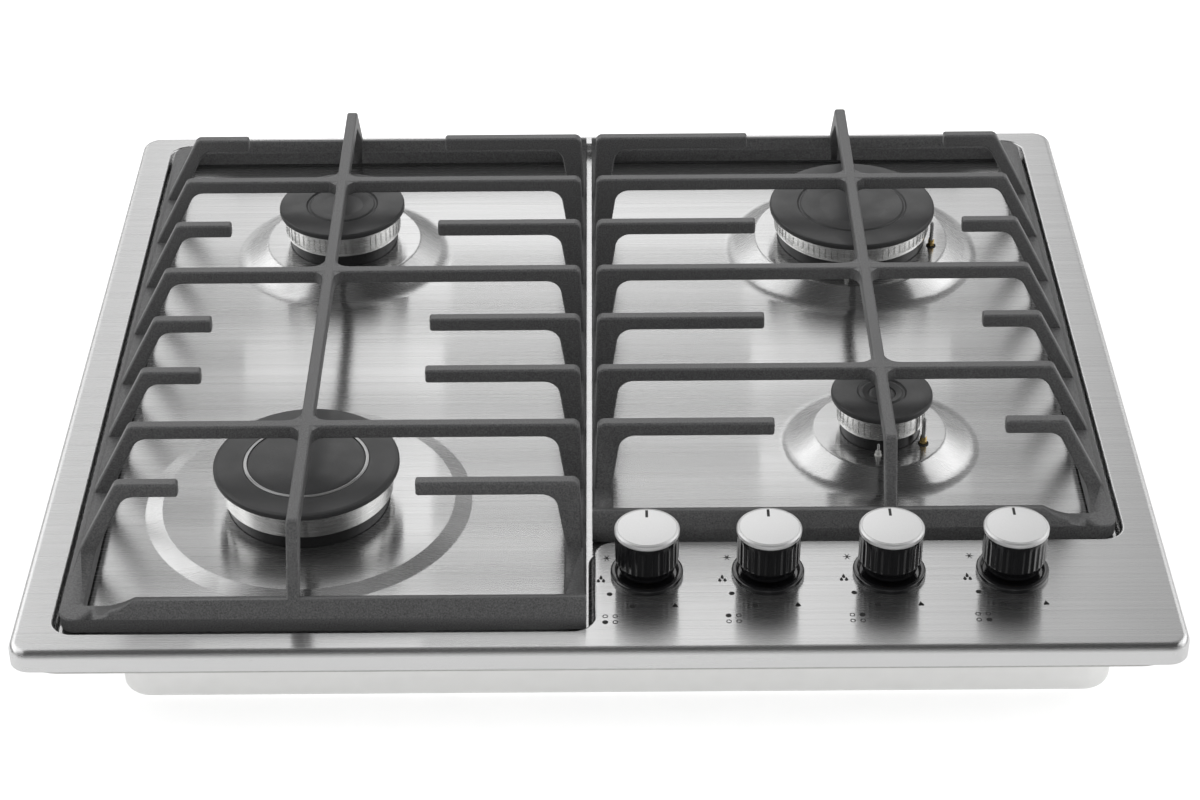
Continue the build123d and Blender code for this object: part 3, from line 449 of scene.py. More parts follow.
def grained(name, colour, rough, scale, metal=0.0, relief=0.2, depth=0.00005, vary=0.12, coat=0.0):
    """Plain finish with an even fine grain in colour, shine and height."""
    made, tree, bsdf = shader(name)
    grain = even_pattern(tree, scale)
    surfaced(tree, bsdf, colour, grain, (1 - vary, 1 + vary), grain, (rough - 0.04, rough + 0.06), metal)
    if coat:
        bsdf.inputs["Coat Weight"].default_value = coat
        bsdf.inputs["Coat Roughness"].default_value = 0.06
    bumped(tree, bsdf, grain, relief, depth)
    return made


def spangled(name, colour):
    """Galvanised sheet: irregular crystals that differ a little in shade, with a fine grain in shine."""
    made, tree, bsdf = shader(name)
    crystals = placed(tree, add(tree, "TexVoronoi", {"Scale": 110.0})).outputs["Distance"]
    fine = even_pattern(tree, 900.0)
    tree.links.new(tinted(tree, crystals, scaled(colour, 0.98), scaled(colour, 1.02), start=0.0, end=0.8),
                   bsdf.inputs["Base Color"])
    tree.links.new(ranged(tree, fine, 0.34, 0.46), bsdf.inputs["Roughness"])
    bsdf.inputs["Metallic"].default_value = 0.85
    bumped(tree, bsdf, fine, strength=0.08, depth=0.00005)
    return made


def drawn_tube(name, colour):
    """Drawn tube: soft die lines with a dull handling bloom."""
    made, tree, bsdf = shader(name)
    lines = pattern(tree, (40, 40, 1800), detail=4.0, rough=0.6)
    bloom = even_pattern(tree, 35.0)
    surfaced(tree, bsdf, colour, bloom, (0.88, 1.06), lines, (0.26, 0.40), metal=1.0)
    bumped(tree, bsdf, lines, strength=0.10, depth=0.00004)
    return made


FINISH = {}


def make_finishes(colours):
    """Every finish of the cooktop: one for each material slot, and the ink of the printed marks."""
    steel, iron, enamel = tuple(colours.steel), tuple(colours.iron), tuple(colours.enamel)
    alloy, grip = tuple(colours.alloy), tuple(colours.grip)
    FINISH.update({
        "stainless": brushed_steel("brushed_plate", steel),
        "cast_iron": cast_iron("cast_iron_coated", iron),
        "enamel": cap_enamel("cap_enamel", enamel),
        "burner_alloy": turned_alloy("ring_alloy", alloy, 0.20, scale=1200.0),
        "cup_metal": grained("cup_coating", (0.035, 0.035, 0.036), 0.30, 900.0, metal=0.5, relief=0.15),
        "trim_chrome": grained("trim_chrome", (0.42, 0.42, 0.42), 0.40, 1800.0, metal=1.0, relief=0.04,
                               depth=0.00002, vary=0.04),
        "brass": turned_alloy("turned_brass", (0.78, 0.56, 0.22), 0.24),
        "steel": turned_alloy("plain_steel", (0.60, 0.60, 0.60), 0.28),
        # Mid grey instead of the ceramic's own white: painted shade, standing in for the shade low under the
        # flame ring.
        "ceramic": grained("spark_ceramic", (0.50, 0.50, 0.48), 0.16, 1200.0, relief=0.05,
                           depth=0.00003, vary=0.03, coat=0.5),
        "knob_black": grained("grip_gloss", grip, 0.12, 1100.0, relief=0.03, depth=0.00003, vary=0.15),
        "knob_silver": grained("face_silver", (0.71, 0.71, 0.71), 0.40, 2200.0, metal=0.6, relief=0.10,
                               depth=0.00003, vary=0.05),
        "bezel_black": grained("bezel_gloss", grip, 0.20, 1100.0, relief=0.03, depth=0.00003,
                               vary=0.15, coat=0.4),
        "seal_foam": grained("seal_foam", (0.62, 0.62, 0.60), 0.85, 800.0, relief=0.6, depth=0.0002,
                             vary=0.10),
        "foot_rubber": grained("foot_rubber", (0.035, 0.035, 0.035), 0.75, 900.0, relief=0.4,
                               depth=0.0001, vary=0.2),
        "zinc_sheet": spangled("zinc_sheet", (0.98, 0.98, 0.97)),
        "tube_alloy": drawn_tube("drawn_tube", (0.72, 0.73, 0.74)),
        "housing": grained("moulded_pale", (0.78, 0.77, 0.73), 0.45, 700.0),
        "switch_black": grained("moulded_black", (0.03, 0.03, 0.03), 0.42, 700.0, vary=0.2),
        "print": grained("printed_ink", (0.015, 0.015, 0.015), 0.6, 1500.0, relief=0.1,
                         depth=0.00002, vary=0.2),
    })


# ---------------------------------------------------------------- one operator for each group of pieces
class COOKTOP_OT_finishes(bpy.types.Operator):
    """Makes the finishes and gives every CAD node the one of its slot"""

    bl_idname = "cooktop.finishes"
    bl_label = "Finishes"

    def execute(self, context):
        make_finishes(context.scene.cooktop_colours)
        for node, obj in NODES.items():
            obj.data.materials.clear()
            obj.data.materials.append(FINISH[SLOT_OF[node]])
        return {"FINISHED"}


class COOKTOP_OT_plate(bpy.types.Operator):
    """Top plate and burner box: the pressed sheets with merged, smoothly shaded edges"""

    bl_idname = "cooktop.plate"
    bl_label = "Top plate and box"

    def execute(self, context):
        merged_copy("plate_sheet", "top_plate", "cooktop", FINISH["stainless"], sharp=30.0)
        merged_copy("box_tray", "burner_box", "cooktop", FINISH["zinc_sheet"], sharp=30.0)
        return {"FINISHED"}


class COOKTOP_OT_grates(bpy.types.Operator):
    """Grates: the castings with merged, smoothly shaded edges"""

    bl_idname = "cooktop.grates"
    bl_label = "Grates"

    def execute(self, context):
        for side in ("left", "right"):
            merged_copy("casting_" + side, "grate_" + side, "grate_" + side, FINISH["cast_iron"], sharp=34.0)
        return {"FINISHED"}


def burner_facts(name):
    """Centre, radii and heights of a burner, read from the CAD nodes, in millimetres."""
    low, high = mm_box("burner_cap_" + name)
    ring_low, ring_high = mm_box("flame_ring_" + name)
    x, y = middle(low, high)
    return {
        "x": x, "y": y, "cap_r": half_width(low, high), "top": high[2], "skirt": low[2],
        "ring_r": half_width(ring_low, ring_high), "ring_low": ring_low[2], "ring_top": ring_high[2],
        "seat": ring_low[2] + SPIGOT - RING_OVER_SEAT,
    }


def cap_underside(b):
    """Half section of a cap's underside: from the axis, down and up round its skirt, to the ring's wall."""
    outer = b["ring_r"] - SKIRT_INSET
    inner, under = outer - SKIRT_WALL, b["ring_top"]
    return [(0, under), (inner, under), (inner, b["skirt"]), (outer, b["skirt"]), (outer, under),
            (b["ring_r"] + 0.2, under)]


class COOKTOP_OT_caps(bpy.types.Operator):
    """Burner caps: turned discs with a rounded lip, a groove and a dished middle"""

    bl_idname = "cooktop.caps"
    bl_label = "Burner caps"

    def execute(self, context):
        for name in RAISED:
            self.dished_cap(name, context.scene.cooktop_burners.cap_lip / MM)
        self.wide_cap()
        self.inner_cap()
        return {"FINISHED"}

    def dished_cap(self, name, lip):
        """Cap with a flat band, a groove and a dished middle, which has a second groove on the smallest."""
        b = burner_facts(name)
        r, top, under = b["cap_r"], b["top"], b["ring_top"]
        small = r < 30
        g = r * (0.64 if r > 40 else 0.54 if r > 30 else 0.44)
        dish = g * 0.62
        outline = cap_underside(b) + [
            (r - 0.5, under + 0.5), (r, under + 1.0), (r, top), (r - 5.0, top), (g + 1.3, top - 0.1),
            (g + 0.4, top - 0.9), (g - 0.4, top - 0.9), (g - 1.3, top - 0.25), (dish, top - 1.05),
            (0, top - 1.2)]
        radii = [0.4, 0, 0.3, 0.3, 0.3, 0.4, 0.4, lip, 3, 0.6, 0.4, 0.4, 0.6, 4]
        profile = soften(outline, radii, 6)
        if small:
            radius = np.linspace(g * 0.6, 0, 22)
            groove_r, groove_width, groove_depth = 0.27 * r, 0.8, 0.6
            groove = groove_depth * np.exp(-((radius - groove_r) / groove_width) ** 2)
            outside = (profile[:, 0] > dish) | (profile[:, 1] < top - 2)
            profile = np.vstack([profile[outside], np.stack([radius, top - 1.15 - groove], -1)])
        build("cap_disc_" + name, [lathe(profile, b["x"], b["y"], 128)], "cap_" + name,
              FINISH["enamel"], ("burner_cap_" + name,))

    def wide_cap(self):
        """Front left cap: an outer band that is open in the middle, with a bright ring in the opening."""
        b = burner_facts(WIDE)
        x, y, r, top, under = b["x"], b["y"], b["cap_r"], b["top"], b["ring_top"]
        trim_low, trim_high = mm_box("cap_trim_front_left")
        inner_low, inner_high = mm_box("inner_cap_front_left")
        trim_r, inner_r = half_width(trim_low, trim_high), half_width(inner_low, inner_high)
        floor, crest = inner_low[2], trim_high[2]
        outline = cap_underside(b) + [
            (r - 0.5, under + 0.4), (r, under + 0.9), (r, top - 0.5), (r - 2.2, top - 0.1),
            (trim_r + 0.6, top), (trim_r + 0.1, top - 0.3), (trim_r + 0.1, floor), (0, floor)]
        profile = soften(outline, [0.4, 0, 0.3, 0.3, 0.3, 0.4, 0.4, 0.9, 1.5, 0.2, 0.1, 0.05], 6)
        build("cap_band_front_left", [lathe(profile, x, y, 128)], "cap_front_left", FINISH["enamel"],
              ("burner_cap_front_left",))
        near, far, foot = inner_r + 0.06, trim_r + 0.08, floor + 0.02
        ring = soften([(near, foot), (far, foot), (far, crest - 0.25), (near + 0.44, crest),
                       (near, crest - 0.1), (near, foot)], [0.05, 0.15, 0.3, 0.1], 4)
        build("bright_ring_front_left", [lathe(ring, x, y, 128)], "cap_front_left", FINISH["trim_chrome"],
              ("cap_trim_front_left",))

    def inner_cap(self):
        """Middle of the front left cap: its dome falls from the crown with the radius squared."""
        b = burner_facts(WIDE)
        low, high = mm_box("inner_cap_front_left")
        r, floor, crown = half_width(low, high), low[2], high[2]
        dome_r, dome_rise = r * 0.93, 0.55
        s = np.linspace(1, 0, 14)
        dome = np.stack([dome_r * s, crown - dome_rise * s ** 2], -1)
        side = soften([(0, floor), (r, floor), (r, crown - 0.9), (dome_r, crown - dome_rise)], [0.1, 0.7], 5)
        profile = np.vstack([side[:-1], dome])
        build("cap_middle_front_left", [lathe(profile, b["x"], b["y"], 112)], "inner_cap",
              FINISH["enamel"], ("inner_cap_front_left",))


class COOKTOP_OT_rings(bpy.types.Operator):
    """Flame rings: polished bands with upright flame slots"""

    bl_idname = "cooktop.rings"
    bl_label = "Flame rings"

    def execute(self, context):
        sizes = context.scene.cooktop_burners
        slots = {"front_left": sizes.slots_wide, "rear_left": sizes.slots_medium,
                 "rear_right": sizes.slots_large, "front_right": sizes.slots_small}
        for name in BURNERS:
            self.ring(name, slots[name], sizes.slot_depth / MM)
        return {"FINISHED"}

    def ring(self, name, count, depth):
        """One ring: spigot below, slotted outer wall, and inside it a floor with a hollow hub."""
        b = burner_facts(name)
        r, high, spigot_low = b["ring_r"], b["ring_top"], b["ring_low"]
        low = spigot_low + SPIGOT
        if name == WIDE:
            slot_low, slot_high, depth = high - 2.2, high - 1.2, depth * 0.4
        else:
            slot_low, slot_high = low + 2.4, high - 2.3
        slot_step, slot_share, slot_shift = 0.05, 0.22, 0.07
        wall, spigot, floor = r - 2.6, r - 5.2, low + 2.0
        spigot_bore, hub, hub_bore, hub_top = spigot - 2.0, 7.8, 6.0, high - 4.0
        outline = [(spigot_bore, low), (spigot_bore, spigot_low), (spigot, spigot_low), (spigot, low),
                   (r - 0.6, low), (r, low + 0.7), (r, slot_low - slot_step), (r, slot_low),
                   (r, slot_high), (r, slot_high + slot_step), (r, high), (wall, high), (wall, floor),
                   (hub, floor), (hub, hub_top), (hub_bore, hub_top), (hub_bore, low), (spigot_bore, low)]
        radii = [0, 0.2, 0, 0.3, 0.4, 0, 0, 0, 0, 0.35, 0.2, 0.4, 0.4, 0.2, 0.2, 0.2]

        def swell(t, z, radius):
            """Takes the slot's depth off the outer wall where the angle is in a slot."""
            in_turn = (t * count / TURN + slot_shift) % 1.0 < slot_share
            in_height = (z > slot_low - 0.01) & (z < slot_high + 0.01)
            return -depth * (in_turn & in_height & (radius > r - 0.3))

        build("flame_band_" + name, [lathe(soften(outline, radii, 3), b["x"], b["y"], count * 9, swell)],
              "ring_" + name, FINISH["burner_alloy"], ("flame_ring_" + name,), sharp=30.0)


class COOKTOP_OT_electrodes(bpy.types.Operator):
    """Spark electrodes and flame sensors: ceramic bodies, pins, rods, brass nuts and seals"""

    bl_idname = "cooktop.electrodes"
    bl_label = "Electrodes"

    spark_angle = -97.0
    sensor_angle = {"front_left": 60.0, "rear_left": 60.0, "rear_right": -15.0, "front_right": -33.0}

    def execute(self, context):
        sparks, sensors = [], []
        for name in BURNERS:
            b = burner_facts(name)
            sparks.append(self.spark(b["seat"], *self.beside(b, self.spark_angle, 1.2)))
            sensors.append(self.sensor(b["seat"], *self.beside(b, self.sensor_angle[name], 2.6)))
        bodies, pins = (list(parts) for parts in zip(*sparks))
        rods, nuts, collars, seals = (list(parts) for parts in zip(*sensors))
        glands = [part for pair in zip(nuts, collars) for part in pair]
        build("spark_bodies", bodies, "cooktop", FINISH["ceramic"], ("spark_insulators",))
        build("spark_tips", pins, "cooktop", FINISH["steel"], ("spark_pins",))
        build("sensor_rods", rods, "cooktop", FINISH["steel"], ("flame_sensors",))
        build("sensor_glands", glands, "cooktop", FINISH["brass"], ("sensor_nuts",), sharp=28.0)
        build("sensor_seals", seals, "cooktop", FINISH["foot_rubber"], slot="foot_rubber")
        return {"FINISHED"}

    def beside(self, b, degrees, clear):
        """Place beside a flame ring: at an angle round it, and so far out from its wall."""
        angle, reach = np.radians(degrees), b["ring_r"] + clear
        return b["x"] + reach * np.cos(angle), b["y"] + reach * np.sin(angle)

    def spark(self, seat, x, y):
        """Ceramic body, wide below the plate and stepped above it, and the pin that stands in it."""
        base = seat - 4.0
        outline = [(0, base - 8.0), (3.0, base - 8.0), (3.2, base - 0.3), (3.2, base), (2.05, base),
                   (2.05, seat + 0.5), (1.6, seat + 0.9), (1.6, seat + 2.4), (1.1, seat + 2.8),
                   (0, seat + 2.8)]
        pin = [(0, seat + 2.6), (0.7, seat + 2.6), (0.7, seat + 6.6), (0.25, seat + 7.2), (0, seat + 7.2)]
        return (lathe(soften(outline, [0.4, 0.3, 0.2, 0, 0.2, 0.2, 0.3, 0.2], 3), x, y, 28),
                lathe(soften(pin, [0.1, 0.4, 0.1], 3), x, y, 16))

    def sensor(self, seat, x, y):
        """Rod with a thin tip, its six-sided nut, the nut's collar, and a seal round the hole."""
        rod = [(0, seat - 16.0), (1.5, seat - 16.0), (1.5, seat + 5.2), (1.15, seat + 5.5),
               (1.15, seat + 15.2), (0.4, seat + 16.5), (0, seat + 16.5)]
        foot, nut_top, collar_top = seat + 0.02, seat + 2.0, seat + 4.4
        collar = [(1.52, nut_top), (1.85, nut_top), (1.85, collar_top), (1.52, collar_top)]
        seal = [(2.0, foot), (2.9, foot), (2.9, seat + 0.5), (2.0, seat + 0.6), (2.0, foot)]
        return (lathe(soften(rod, [0.3, 0.1, 0.1, 0.8, 0.3], 4), x, y, 24),
                prism(6, 2.1, x, y, foot, nut_top, turn=0.3),
                lathe(soften(collar, [0.1, 0.2], 3), x, y, 24),
                lathe(soften(seal, [0.05, 0.2, 0.1], 3), x, y, 32))


class COOKTOP_OT_knobs(bpy.types.Operator):
    """Knobs: ribbed gloss grips with silver faces, pointer lines and bezels"""

    bl_idname = "cooktop.knobs"
    bl_label = "Knobs"

    def execute(self, context):
        sizes = context.scene.cooktop_knobs
        bezels = []
        for i in KNOBS:
            x, y = middle(*mm_box(f"knob_body_{i}"))
            self.grip(i, x, y, sizes)
            self.face(i, x, y, sizes.pointer_length / MM)
            bezels.append(self.bezel(x, y))
        build("bezel_rings", bezels, "cooktop", FINISH["bezel_black"], ("knob_bezels",))
        return {"FINISHED"}

    def grip(self, i, x, y, sizes):
        """Grip: hollow below round a hub, narrow at its foot, and ribbed up to its plain head."""
        low, high = mm_box(f"knob_body_{i}")
        r, z0, z1 = half_width(low, high), low[2], high[2]
        ribs, depth = sizes.ribs, sizes.rib_depth / MM
        foot = r - sizes.waist / MM
        bore, hub, hollow, roof = 4.1, 7.0, foot - 2.6, z0 + 9.0
        outline = [(bore, z0 + 15.0), (bore, z0), (hub, z0), (hub, roof), (hollow, roof), (hollow, z0),
                   (foot, z0), (foot, z0 + 2.5), (r, z0 + 6.0), (r, z0 + 9.0), (r, z1 - 3.5),
                   (r, z1 - 1.5), (r, z1 - 0.5), (r, z1), (0, z1)]
        radii = [0, 0.3, 0, 0, 0.3, 0.8, 3, 3, 0, 0, 0, 0, 0.2]

        def swell(t, z, radius):
            """Hollows between the ribs: a wave round the outer wall, which fades at its foot and head."""
            wave = 0.5 - 0.5 * np.cos(t * ribs)
            fade = np.clip((z1 - 1.2 - z) / 1.2, 0, 1) * np.clip((z - z0 - 4.5) / 2.0, 0, 1)
            return -depth * wave ** 0.7 * fade * (radius > r - 1.2)

        build(f"grip_{i}", [lathe(soften(outline, radii, 5), x, y, ribs * 8, swell)], f"knob_{i}",
              FINISH["knob_black"], (f"knob_body_{i}",))

    def face(self, i, x, y, length):
        """Silver face with a fine step inside its rim, and the pointer line on it."""
        low, high = mm_box(f"knob_face_{i}")
        r, z0, z1 = half_width(low, high), low[2], high[2]
        disc = soften([(0, z0), (r - 0.4, z0), (r, z0 + 0.5), (r, z1 - 0.8), (r - 0.8, z1 - 0.05),
                       (r - 1.1, z1 - 0.05), (r - 1.25, z1 - 0.3), (r - 1.4, z1 - 0.3), (r - 1.6, z1),
                       (0, z1)], [0.3, 0.3, 0.4, 0.3, 0.05, 0.05, 0.05, 0.1], 5)
        build(f"face_{i}", [lathe(disc, x, y, 112)], f"knob_{i}", FINISH["knob_silver"],
              (f"knob_face_{i}",))
        half, end, from_rim = 0.7, length / 2, 2.1
        line = np.array([(-half, end), (-half, -end), (half, -end), (half, end)])
        build(f"pointer_{i}", [flat_shape(x, y + r - from_rim - end, z1 + 0.02, line)],
              f"knob_{i}", FINISH["print"], slot="bezel_black")

    def bezel(self, x, y):
        """Bezel: a low rounded ring with a floor that runs in to the spindle."""
        bore, inner, shoulder, outer = 5.0, 15.1, 16.0, 18.4
        base, floor, top = PLATE_TOP + 0.02, PLATE_TOP + 0.8, PLATE_TOP + 2.9
        ring = soften([(bore, base), (outer, base), (outer, top), (shoulder, top), (inner, floor),
                       (bore, floor), (bore, base)], [0.1, 1.2, 0.5, 0.6, 0.1], 6)
        return lathe(ring, x, y, 96)


class COOKTOP_OT_marks(bpy.types.Operator):
    """Printed marks round the knobs: sparks, flames, dots and burner positions"""

    bl_idname = "cooktop.marks"
    bl_label = "Printed marks"

    def execute(self, context):
        size = context.scene.cooktop_knobs.mark_size
        z = PLATE_TOP + 0.03
        marks = []
        for i in KNOBS:
            x, y = middle(*mm_box(f"knob_body_{i}"))
            spark = star_outline(2.2 * size) * [1.0, 1.25]
            marks.append(flat_shape(x + SPARK_AT[0], y + SPARK_AT[1], z, spark))
            marks += self.flame(x + FLAME_AT[0], y + FLAME_AT[1], z, size, FLAME)
            marks += [flat_shape(x + dx, y + dy, z, circle_outline(1.44 * size)) for dx, dy in DOTS_AT]
            marks += self.flame(x + LOW_FLAME_AT[0], y + LOW_FLAME_AT[1], z, size, LOW_FLAME)
            marks += self.plan(x + PLAN_AT[0], y + PLAN_AT[1], z, size, i)
        build("panel_marks", marks, "cooktop", FINISH["print"], slot="bezel_black")
        return {"FINISHED"}

    def flame(self, x, y, z, size, drops):
        """Flame: two drops below and one above."""
        return [flat_shape(x + dx * size, y + dy * size, z, drop_outline(w * size, h * size))
                for dx, dy, w, h in drops]

    def plan(self, x, y, z, size, own):
        """Plan of the four burners: three rings, and a dot for the knob's own."""
        made = []
        for k, (cx, cy) in zip(KNOBS, PLAN_CORNERS):
            px, py = x + 2.5 * cx, y + 2.3 * cy
            made.append(flat_shape(px, py, z, circle_outline(1.5 * size)) if k == own
                        else flat_ring(px, py, z, 1.4 * size, 0.9 * size))
        return made


class COOKTOP_OT_springs(bpy.types.Operator):
    """Return springs: wound coils under the tap spindles"""

    bl_idname = "cooktop.springs"
    bl_label = "Return springs"

    def execute(self, context):
        for i in KNOBS:
            low, high = mm_box(f"return_spring_{i}")
            x, y = middle(low, high)
            wound = coil(x, y, low[2], high[2], radius=3.4, wire=0.42, turns=7.0)
            made = build(f"spring_coil_{i}", [wound], "cooktop", FINISH["steel"], (f"return_spring_{i}",))
            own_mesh(made)
        return {"FINISHED"}


class COOKTOP_OT_stage(bpy.types.Operator):
    """Floor, lamps, surroundings and camera"""

    bl_idname = "cooktop.stage"
    bl_label = "Studio"

    def execute(self, context):
        light = context.scene.cooktop_light
        self.floor()
        self.sky(light.sky)
        self.lamp("lamp_left", light.key, (-1.6, 0.5, 1.5), 2.4, 1.8)
        self.lamp("lamp_right", light.side, (1.7, 0.3, 1.1), 2.0, 1.4)
        self.camera()
        context.scene.view_settings.view_transform = "Standard"
        return {"FINISHED"}

    def floor(self):
        """Pale floor, which shows white to the camera where nothing shades it."""
        reach, below = 14.0, -0.0004
        camera_share, mirror_share = 0.6, 0.5
        u = np.linspace(-reach, reach, 3)
        gx, gy = np.meshgrid(u, u, indexing="ij")
        points = np.stack([gx, gy, np.full(gx.shape, below)], -1).reshape(-1, 3)
        mesh = bpy.data.meshes.new("floor")
        mesh.from_pydata(points, [], grid_faces(3, 3, wrap_u=False))
        made, tree, bsdf = shader("floor_paper")
        fibre = even_pattern(tree, 60.0)
        tree.links.new(tinted(tree, fibre, (0.90, 0.90, 0.90), (0.93, 0.93, 0.93)), bsdf.inputs["Base Color"])
        bsdf.inputs["Roughness"].default_value = 0.9
        glow = add(tree, "Emission", {"Strength": 1.0})
        nothing = add(tree, "Emission", {"Strength": 0.0})
        seen = add(tree, "LightPath")
        dim, either, share = (add(tree, "Math", operation=kind)
                              for kind in ("MULTIPLY", "MAXIMUM", "MULTIPLY"))
        dim.inputs[1].default_value = mirror_share
        share.inputs[1].default_value = camera_share
        lift, both = add(tree, "MixShader"), add(tree, "AddShader")
        for source, target in (
                (seen.outputs["Is Glossy Ray"], dim.inputs[0]),
                (seen.outputs["Is Camera Ray"], either.inputs[0]),
                (dim.outputs["Value"], either.inputs[1]),
                (either.outputs["Value"], share.inputs[0]),
                (share.outputs["Value"], lift.inputs["Fac"]),
                (nothing.outputs["Emission"], lift.inputs[1]),
                (glow.outputs["Emission"], lift.inputs[2]),
                (bsdf.outputs["BSDF"], both.inputs[0]),
                (lift.outputs["Shader"], both.inputs[1]),
                (both.outputs["Shader"], tree.nodes["Material Output"].inputs["Surface"])):
            tree.links.new(source, target)
        mesh.materials.append(made)
        ground = linked("floor", mesh)

    def sky(self, strength):
        """White to the camera, even light on matt surfaces. In reflections it is brightest about a third
        of the way up behind the object, weaker to both sides, dim in front and dark overhead."""
        behind = ((0.0, 0.68), (0.30, 0.88), (0.44, 1.65), (0.54, 2.2), (0.64, 1.45), (0.74, 0.7),
                  (0.84, 0.16), (1.0, 0.08))
        in_front = ((0.0, 0.3), (0.22, 0.6), (0.42, 0.5), (0.56, 0.06), (1.0, 0.06))
        sideways = ((0.0, 0.45), (0.25, 0.6), (0.40, 0.75), (0.47, 1.3), (0.53, 1.2), (0.60, 0.58),
                    (0.75, 0.5), (1.0, 0.6))
        change = 0.12
        world = bpy.data.worlds.new("studio")
        bpy.context.scene.world = world
        world.use_nodes = True
        tree = world.node_tree
        tree.nodes.clear()
        out = add(tree, "OutputWorld")
        direction = add(tree, "TexCoord")
        split = add(tree, "SeparateXYZ")
        tree.links.new(direction.outputs["Generated"], split.inputs["Vector"])
        rear = self.greys(tree, split.outputs["Z"], 0, 1, behind)
        front = self.greys(tree, split.outputs["Z"], 0, 1, in_front)
        sides = self.greys(tree, split.outputs["X"], -1, 1, sideways)
        where = add(tree, "MapRange", {"From Min": -change, "From Max": change})
        blend = add(tree, "Mix", data_type="RGBA")
        shade = add(tree, "VectorMath", operation="MULTIPLY")
        mirrored = add(tree, "Background", {"Strength": 1.0})
        around = add(tree, "Background", {"Color": (1, 1, 1, 1), "Strength": strength})
        white = add(tree, "Background", {"Color": (1, 1, 1, 1), "Strength": 1.0})
        seen = add(tree, "LightPath")
        first, second = add(tree, "MixShader"), add(tree, "MixShader")
        for source, target in (
                (split.outputs["Y"], where.inputs["Value"]),
                (where.outputs["Result"], blend.inputs["Factor"]),
                (front, blend.inputs["A"]),
                (rear, blend.inputs["B"]),
                (blend.outputs["Result"], shade.inputs[0]),
                (sides, shade.inputs[1]),
                (shade.outputs["Vector"], mirrored.inputs["Color"]),
                (seen.outputs["Is Glossy Ray"], first.inputs["Fac"]),
                (around.outputs["Background"], first.inputs[1]),
                (mirrored.outputs["Background"], first.inputs[2]),
                (seen.outputs["Is Camera Ray"], second.inputs["Fac"]),
                (first.outputs["Shader"], second.inputs[1]),
                (white.outputs["Background"], second.inputs[2]),
                (second.outputs["Shader"], out.inputs["Surface"])):
            tree.links.new(source, target)

    def greys(self, tree, source, start, end, stops):
        """Greys along one part of the direction, from (place, grey) pairs."""
        place = add(tree, "MapRange", {"From Min": start, "From Max": end})
        ramp = add(tree, "ValToRGB")
        elements = ramp.color_ramp.elements
        elements[0].position, elements[1].position = 0.0, 1.0
        for spot, _ in stops[1:-1]:
            elements.new(spot)
        for element, (spot, grey) in zip(elements, stops):
            element.position, element.color = spot, (grey, grey, grey, 1)
        tree.links.new(source, place.inputs["Value"])
        tree.links.new(place.outputs["Result"], ramp.inputs["Fac"])
        return ramp.outputs["Color"]

    def lamp(self, name, power, place, width, depth):
        """Soft rectangular lamp that points at the cooktop."""
        aim = (0.0, 0.0, 0.05)
        data = bpy.data.lights.new(name, "AREA")
        data.shape, data.size, data.size_y, data.energy = "RECTANGLE", width, depth, power
        away = np.array(place) - np.array(aim)
        away = away / np.linalg.norm(away)
        side = np.cross((0, 0, 1), away)
        side = side / np.linalg.norm(side)
        self.put(linked(name, data), side, np.cross(away, side), away, place)

    def camera(self):
        """Camera fitted to the plate's edges, grate rows and circles."""
        pitch, roll, yaw = 0.592116, -0.009048, -0.003426
        plate_height, film, image_width, far = 0.054, 36.0, 1200.0, 60.0
        focal_pixels, shift_right, shift_up = 2765.468, 5.658, -17.633
        ahead = np.array([np.sin(yaw) * np.cos(pitch), np.cos(yaw) * np.cos(pitch), -np.sin(pitch)])
        right = np.array([np.cos(yaw), -np.sin(yaw), 0.0])
        up = np.cross(right, ahead)
        across = np.cos(roll) * right + np.sin(roll) * up
        upward = -np.sin(roll) * right + np.cos(roll) * up
        data = bpy.data.cameras.new("camera")
        data.sensor_width, data.lens = film, focal_pixels * film / image_width
        data.shift_x, data.shift_y = shift_right / image_width, shift_up / image_width
        data.clip_end = far
        made = linked("camera", data)
        self.put(made, across, upward, -ahead, (0.0026418, -1.304546, 0.860014 + plate_height))
        bpy.context.scene.camera = made

    def put(self, made, side, up, away, place):
        """Places a lamp or the camera by its three axes and its place."""
        turn = np.eye(4)
        turn[:3, 0], turn[:3, 1], turn[:3, 2], turn[:3, 3] = side, up, away, place
        made.matrix_world = Matrix(turn.tolist())


class COOKTOP_PT_panel(bpy.types.Panel):
    """Sizes, colours and steps of the cooktop"""

    bl_idname = "COOKTOP_PT_panel"
    bl_label = "Cooktop"
    bl_space_type = "VIEW_3D"
    bl_region_type = "UI"
    bl_category = "Cooktop"

    def draw(self, context):
        for title, group in (("Burners", "cooktop_burners"), ("Knobs", "cooktop_knobs"),
                             ("Colours", "cooktop_colours"), ("Light", "cooktop_light")):
            box = self.layout.box()
            box.label(text=title)
            settings = getattr(context.scene, group)
            for key in settings.__annotations__:
                box.prop(settings, key)
        for step in STEPS:
            self.layout.operator(step.bl_idname)


STEPS = (COOKTOP_OT_finishes, COOKTOP_OT_plate, COOKTOP_OT_grates, COOKTOP_OT_caps, COOKTOP_OT_rings,
         COOKTOP_OT_electrodes, COOKTOP_OT_knobs, COOKTOP_OT_marks, COOKTOP_OT_springs, COOKTOP_OT_stage)
GROUPS = {"cooktop_burners": BurnerSizes, "cooktop_knobs": KnobSizes,
          "cooktop_colours": FinishColours, "cooktop_light": StudioLight}


def register():
    for group in GROUPS.values():
        bpy.utils.register_class(group)
    for step in STEPS:
        bpy.utils.register_class(step)
    bpy.utils.register_class(COOKTOP_PT_panel)
    for name, group in GROUPS.items():
        setattr(bpy.types.Scene, name, PointerProperty(type=group))


def unregister():
    for name in GROUPS:
        delattr(bpy.types.Scene, name)
    bpy.utils.unregister_class(COOKTOP_PT_panel)
    for step in reversed(STEPS):
        bpy.utils.unregister_class(step)
    for group in GROUPS.values():
        bpy.utils.unregister_class(group)


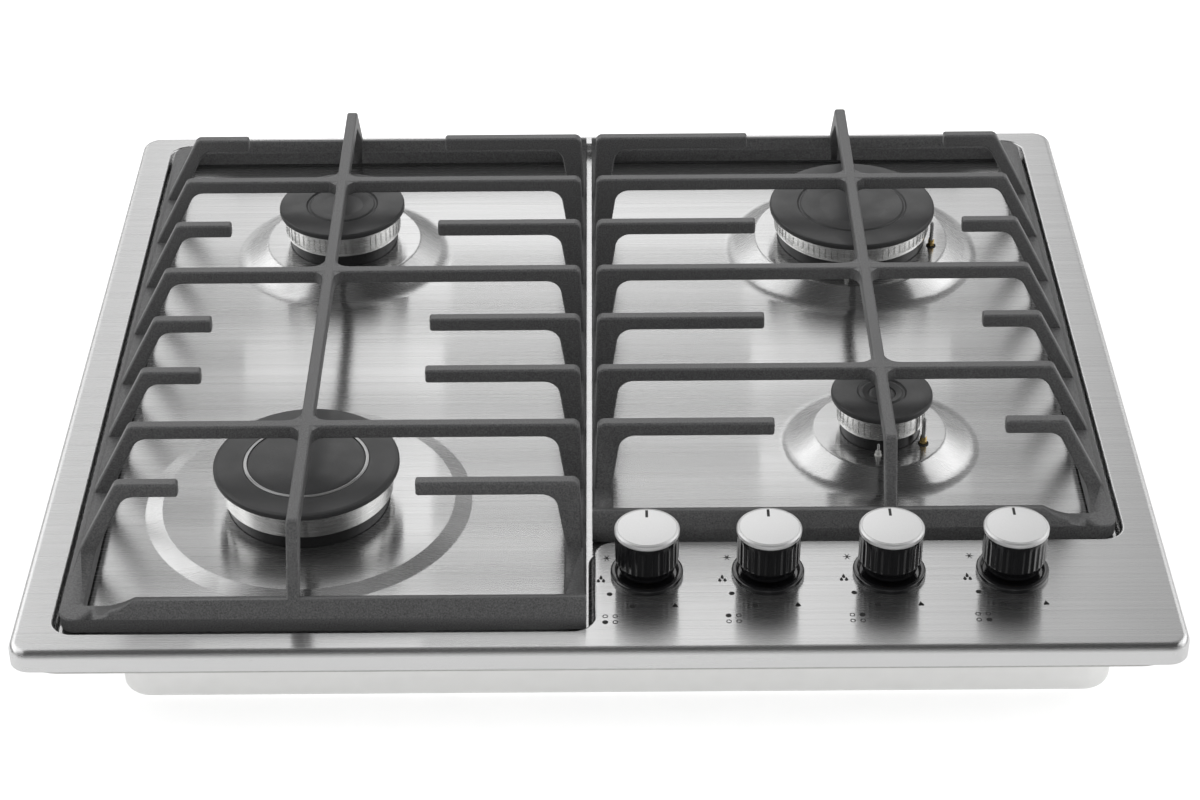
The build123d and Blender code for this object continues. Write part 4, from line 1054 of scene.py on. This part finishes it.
def main():
    """Registers the add-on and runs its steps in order."""
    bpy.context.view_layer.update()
    register()
    for step in STEPS:
        area, name = step.bl_idname.split(".")
        getattr(getattr(bpy.ops, area), name)()


if __name__ == "__main__":
    main()
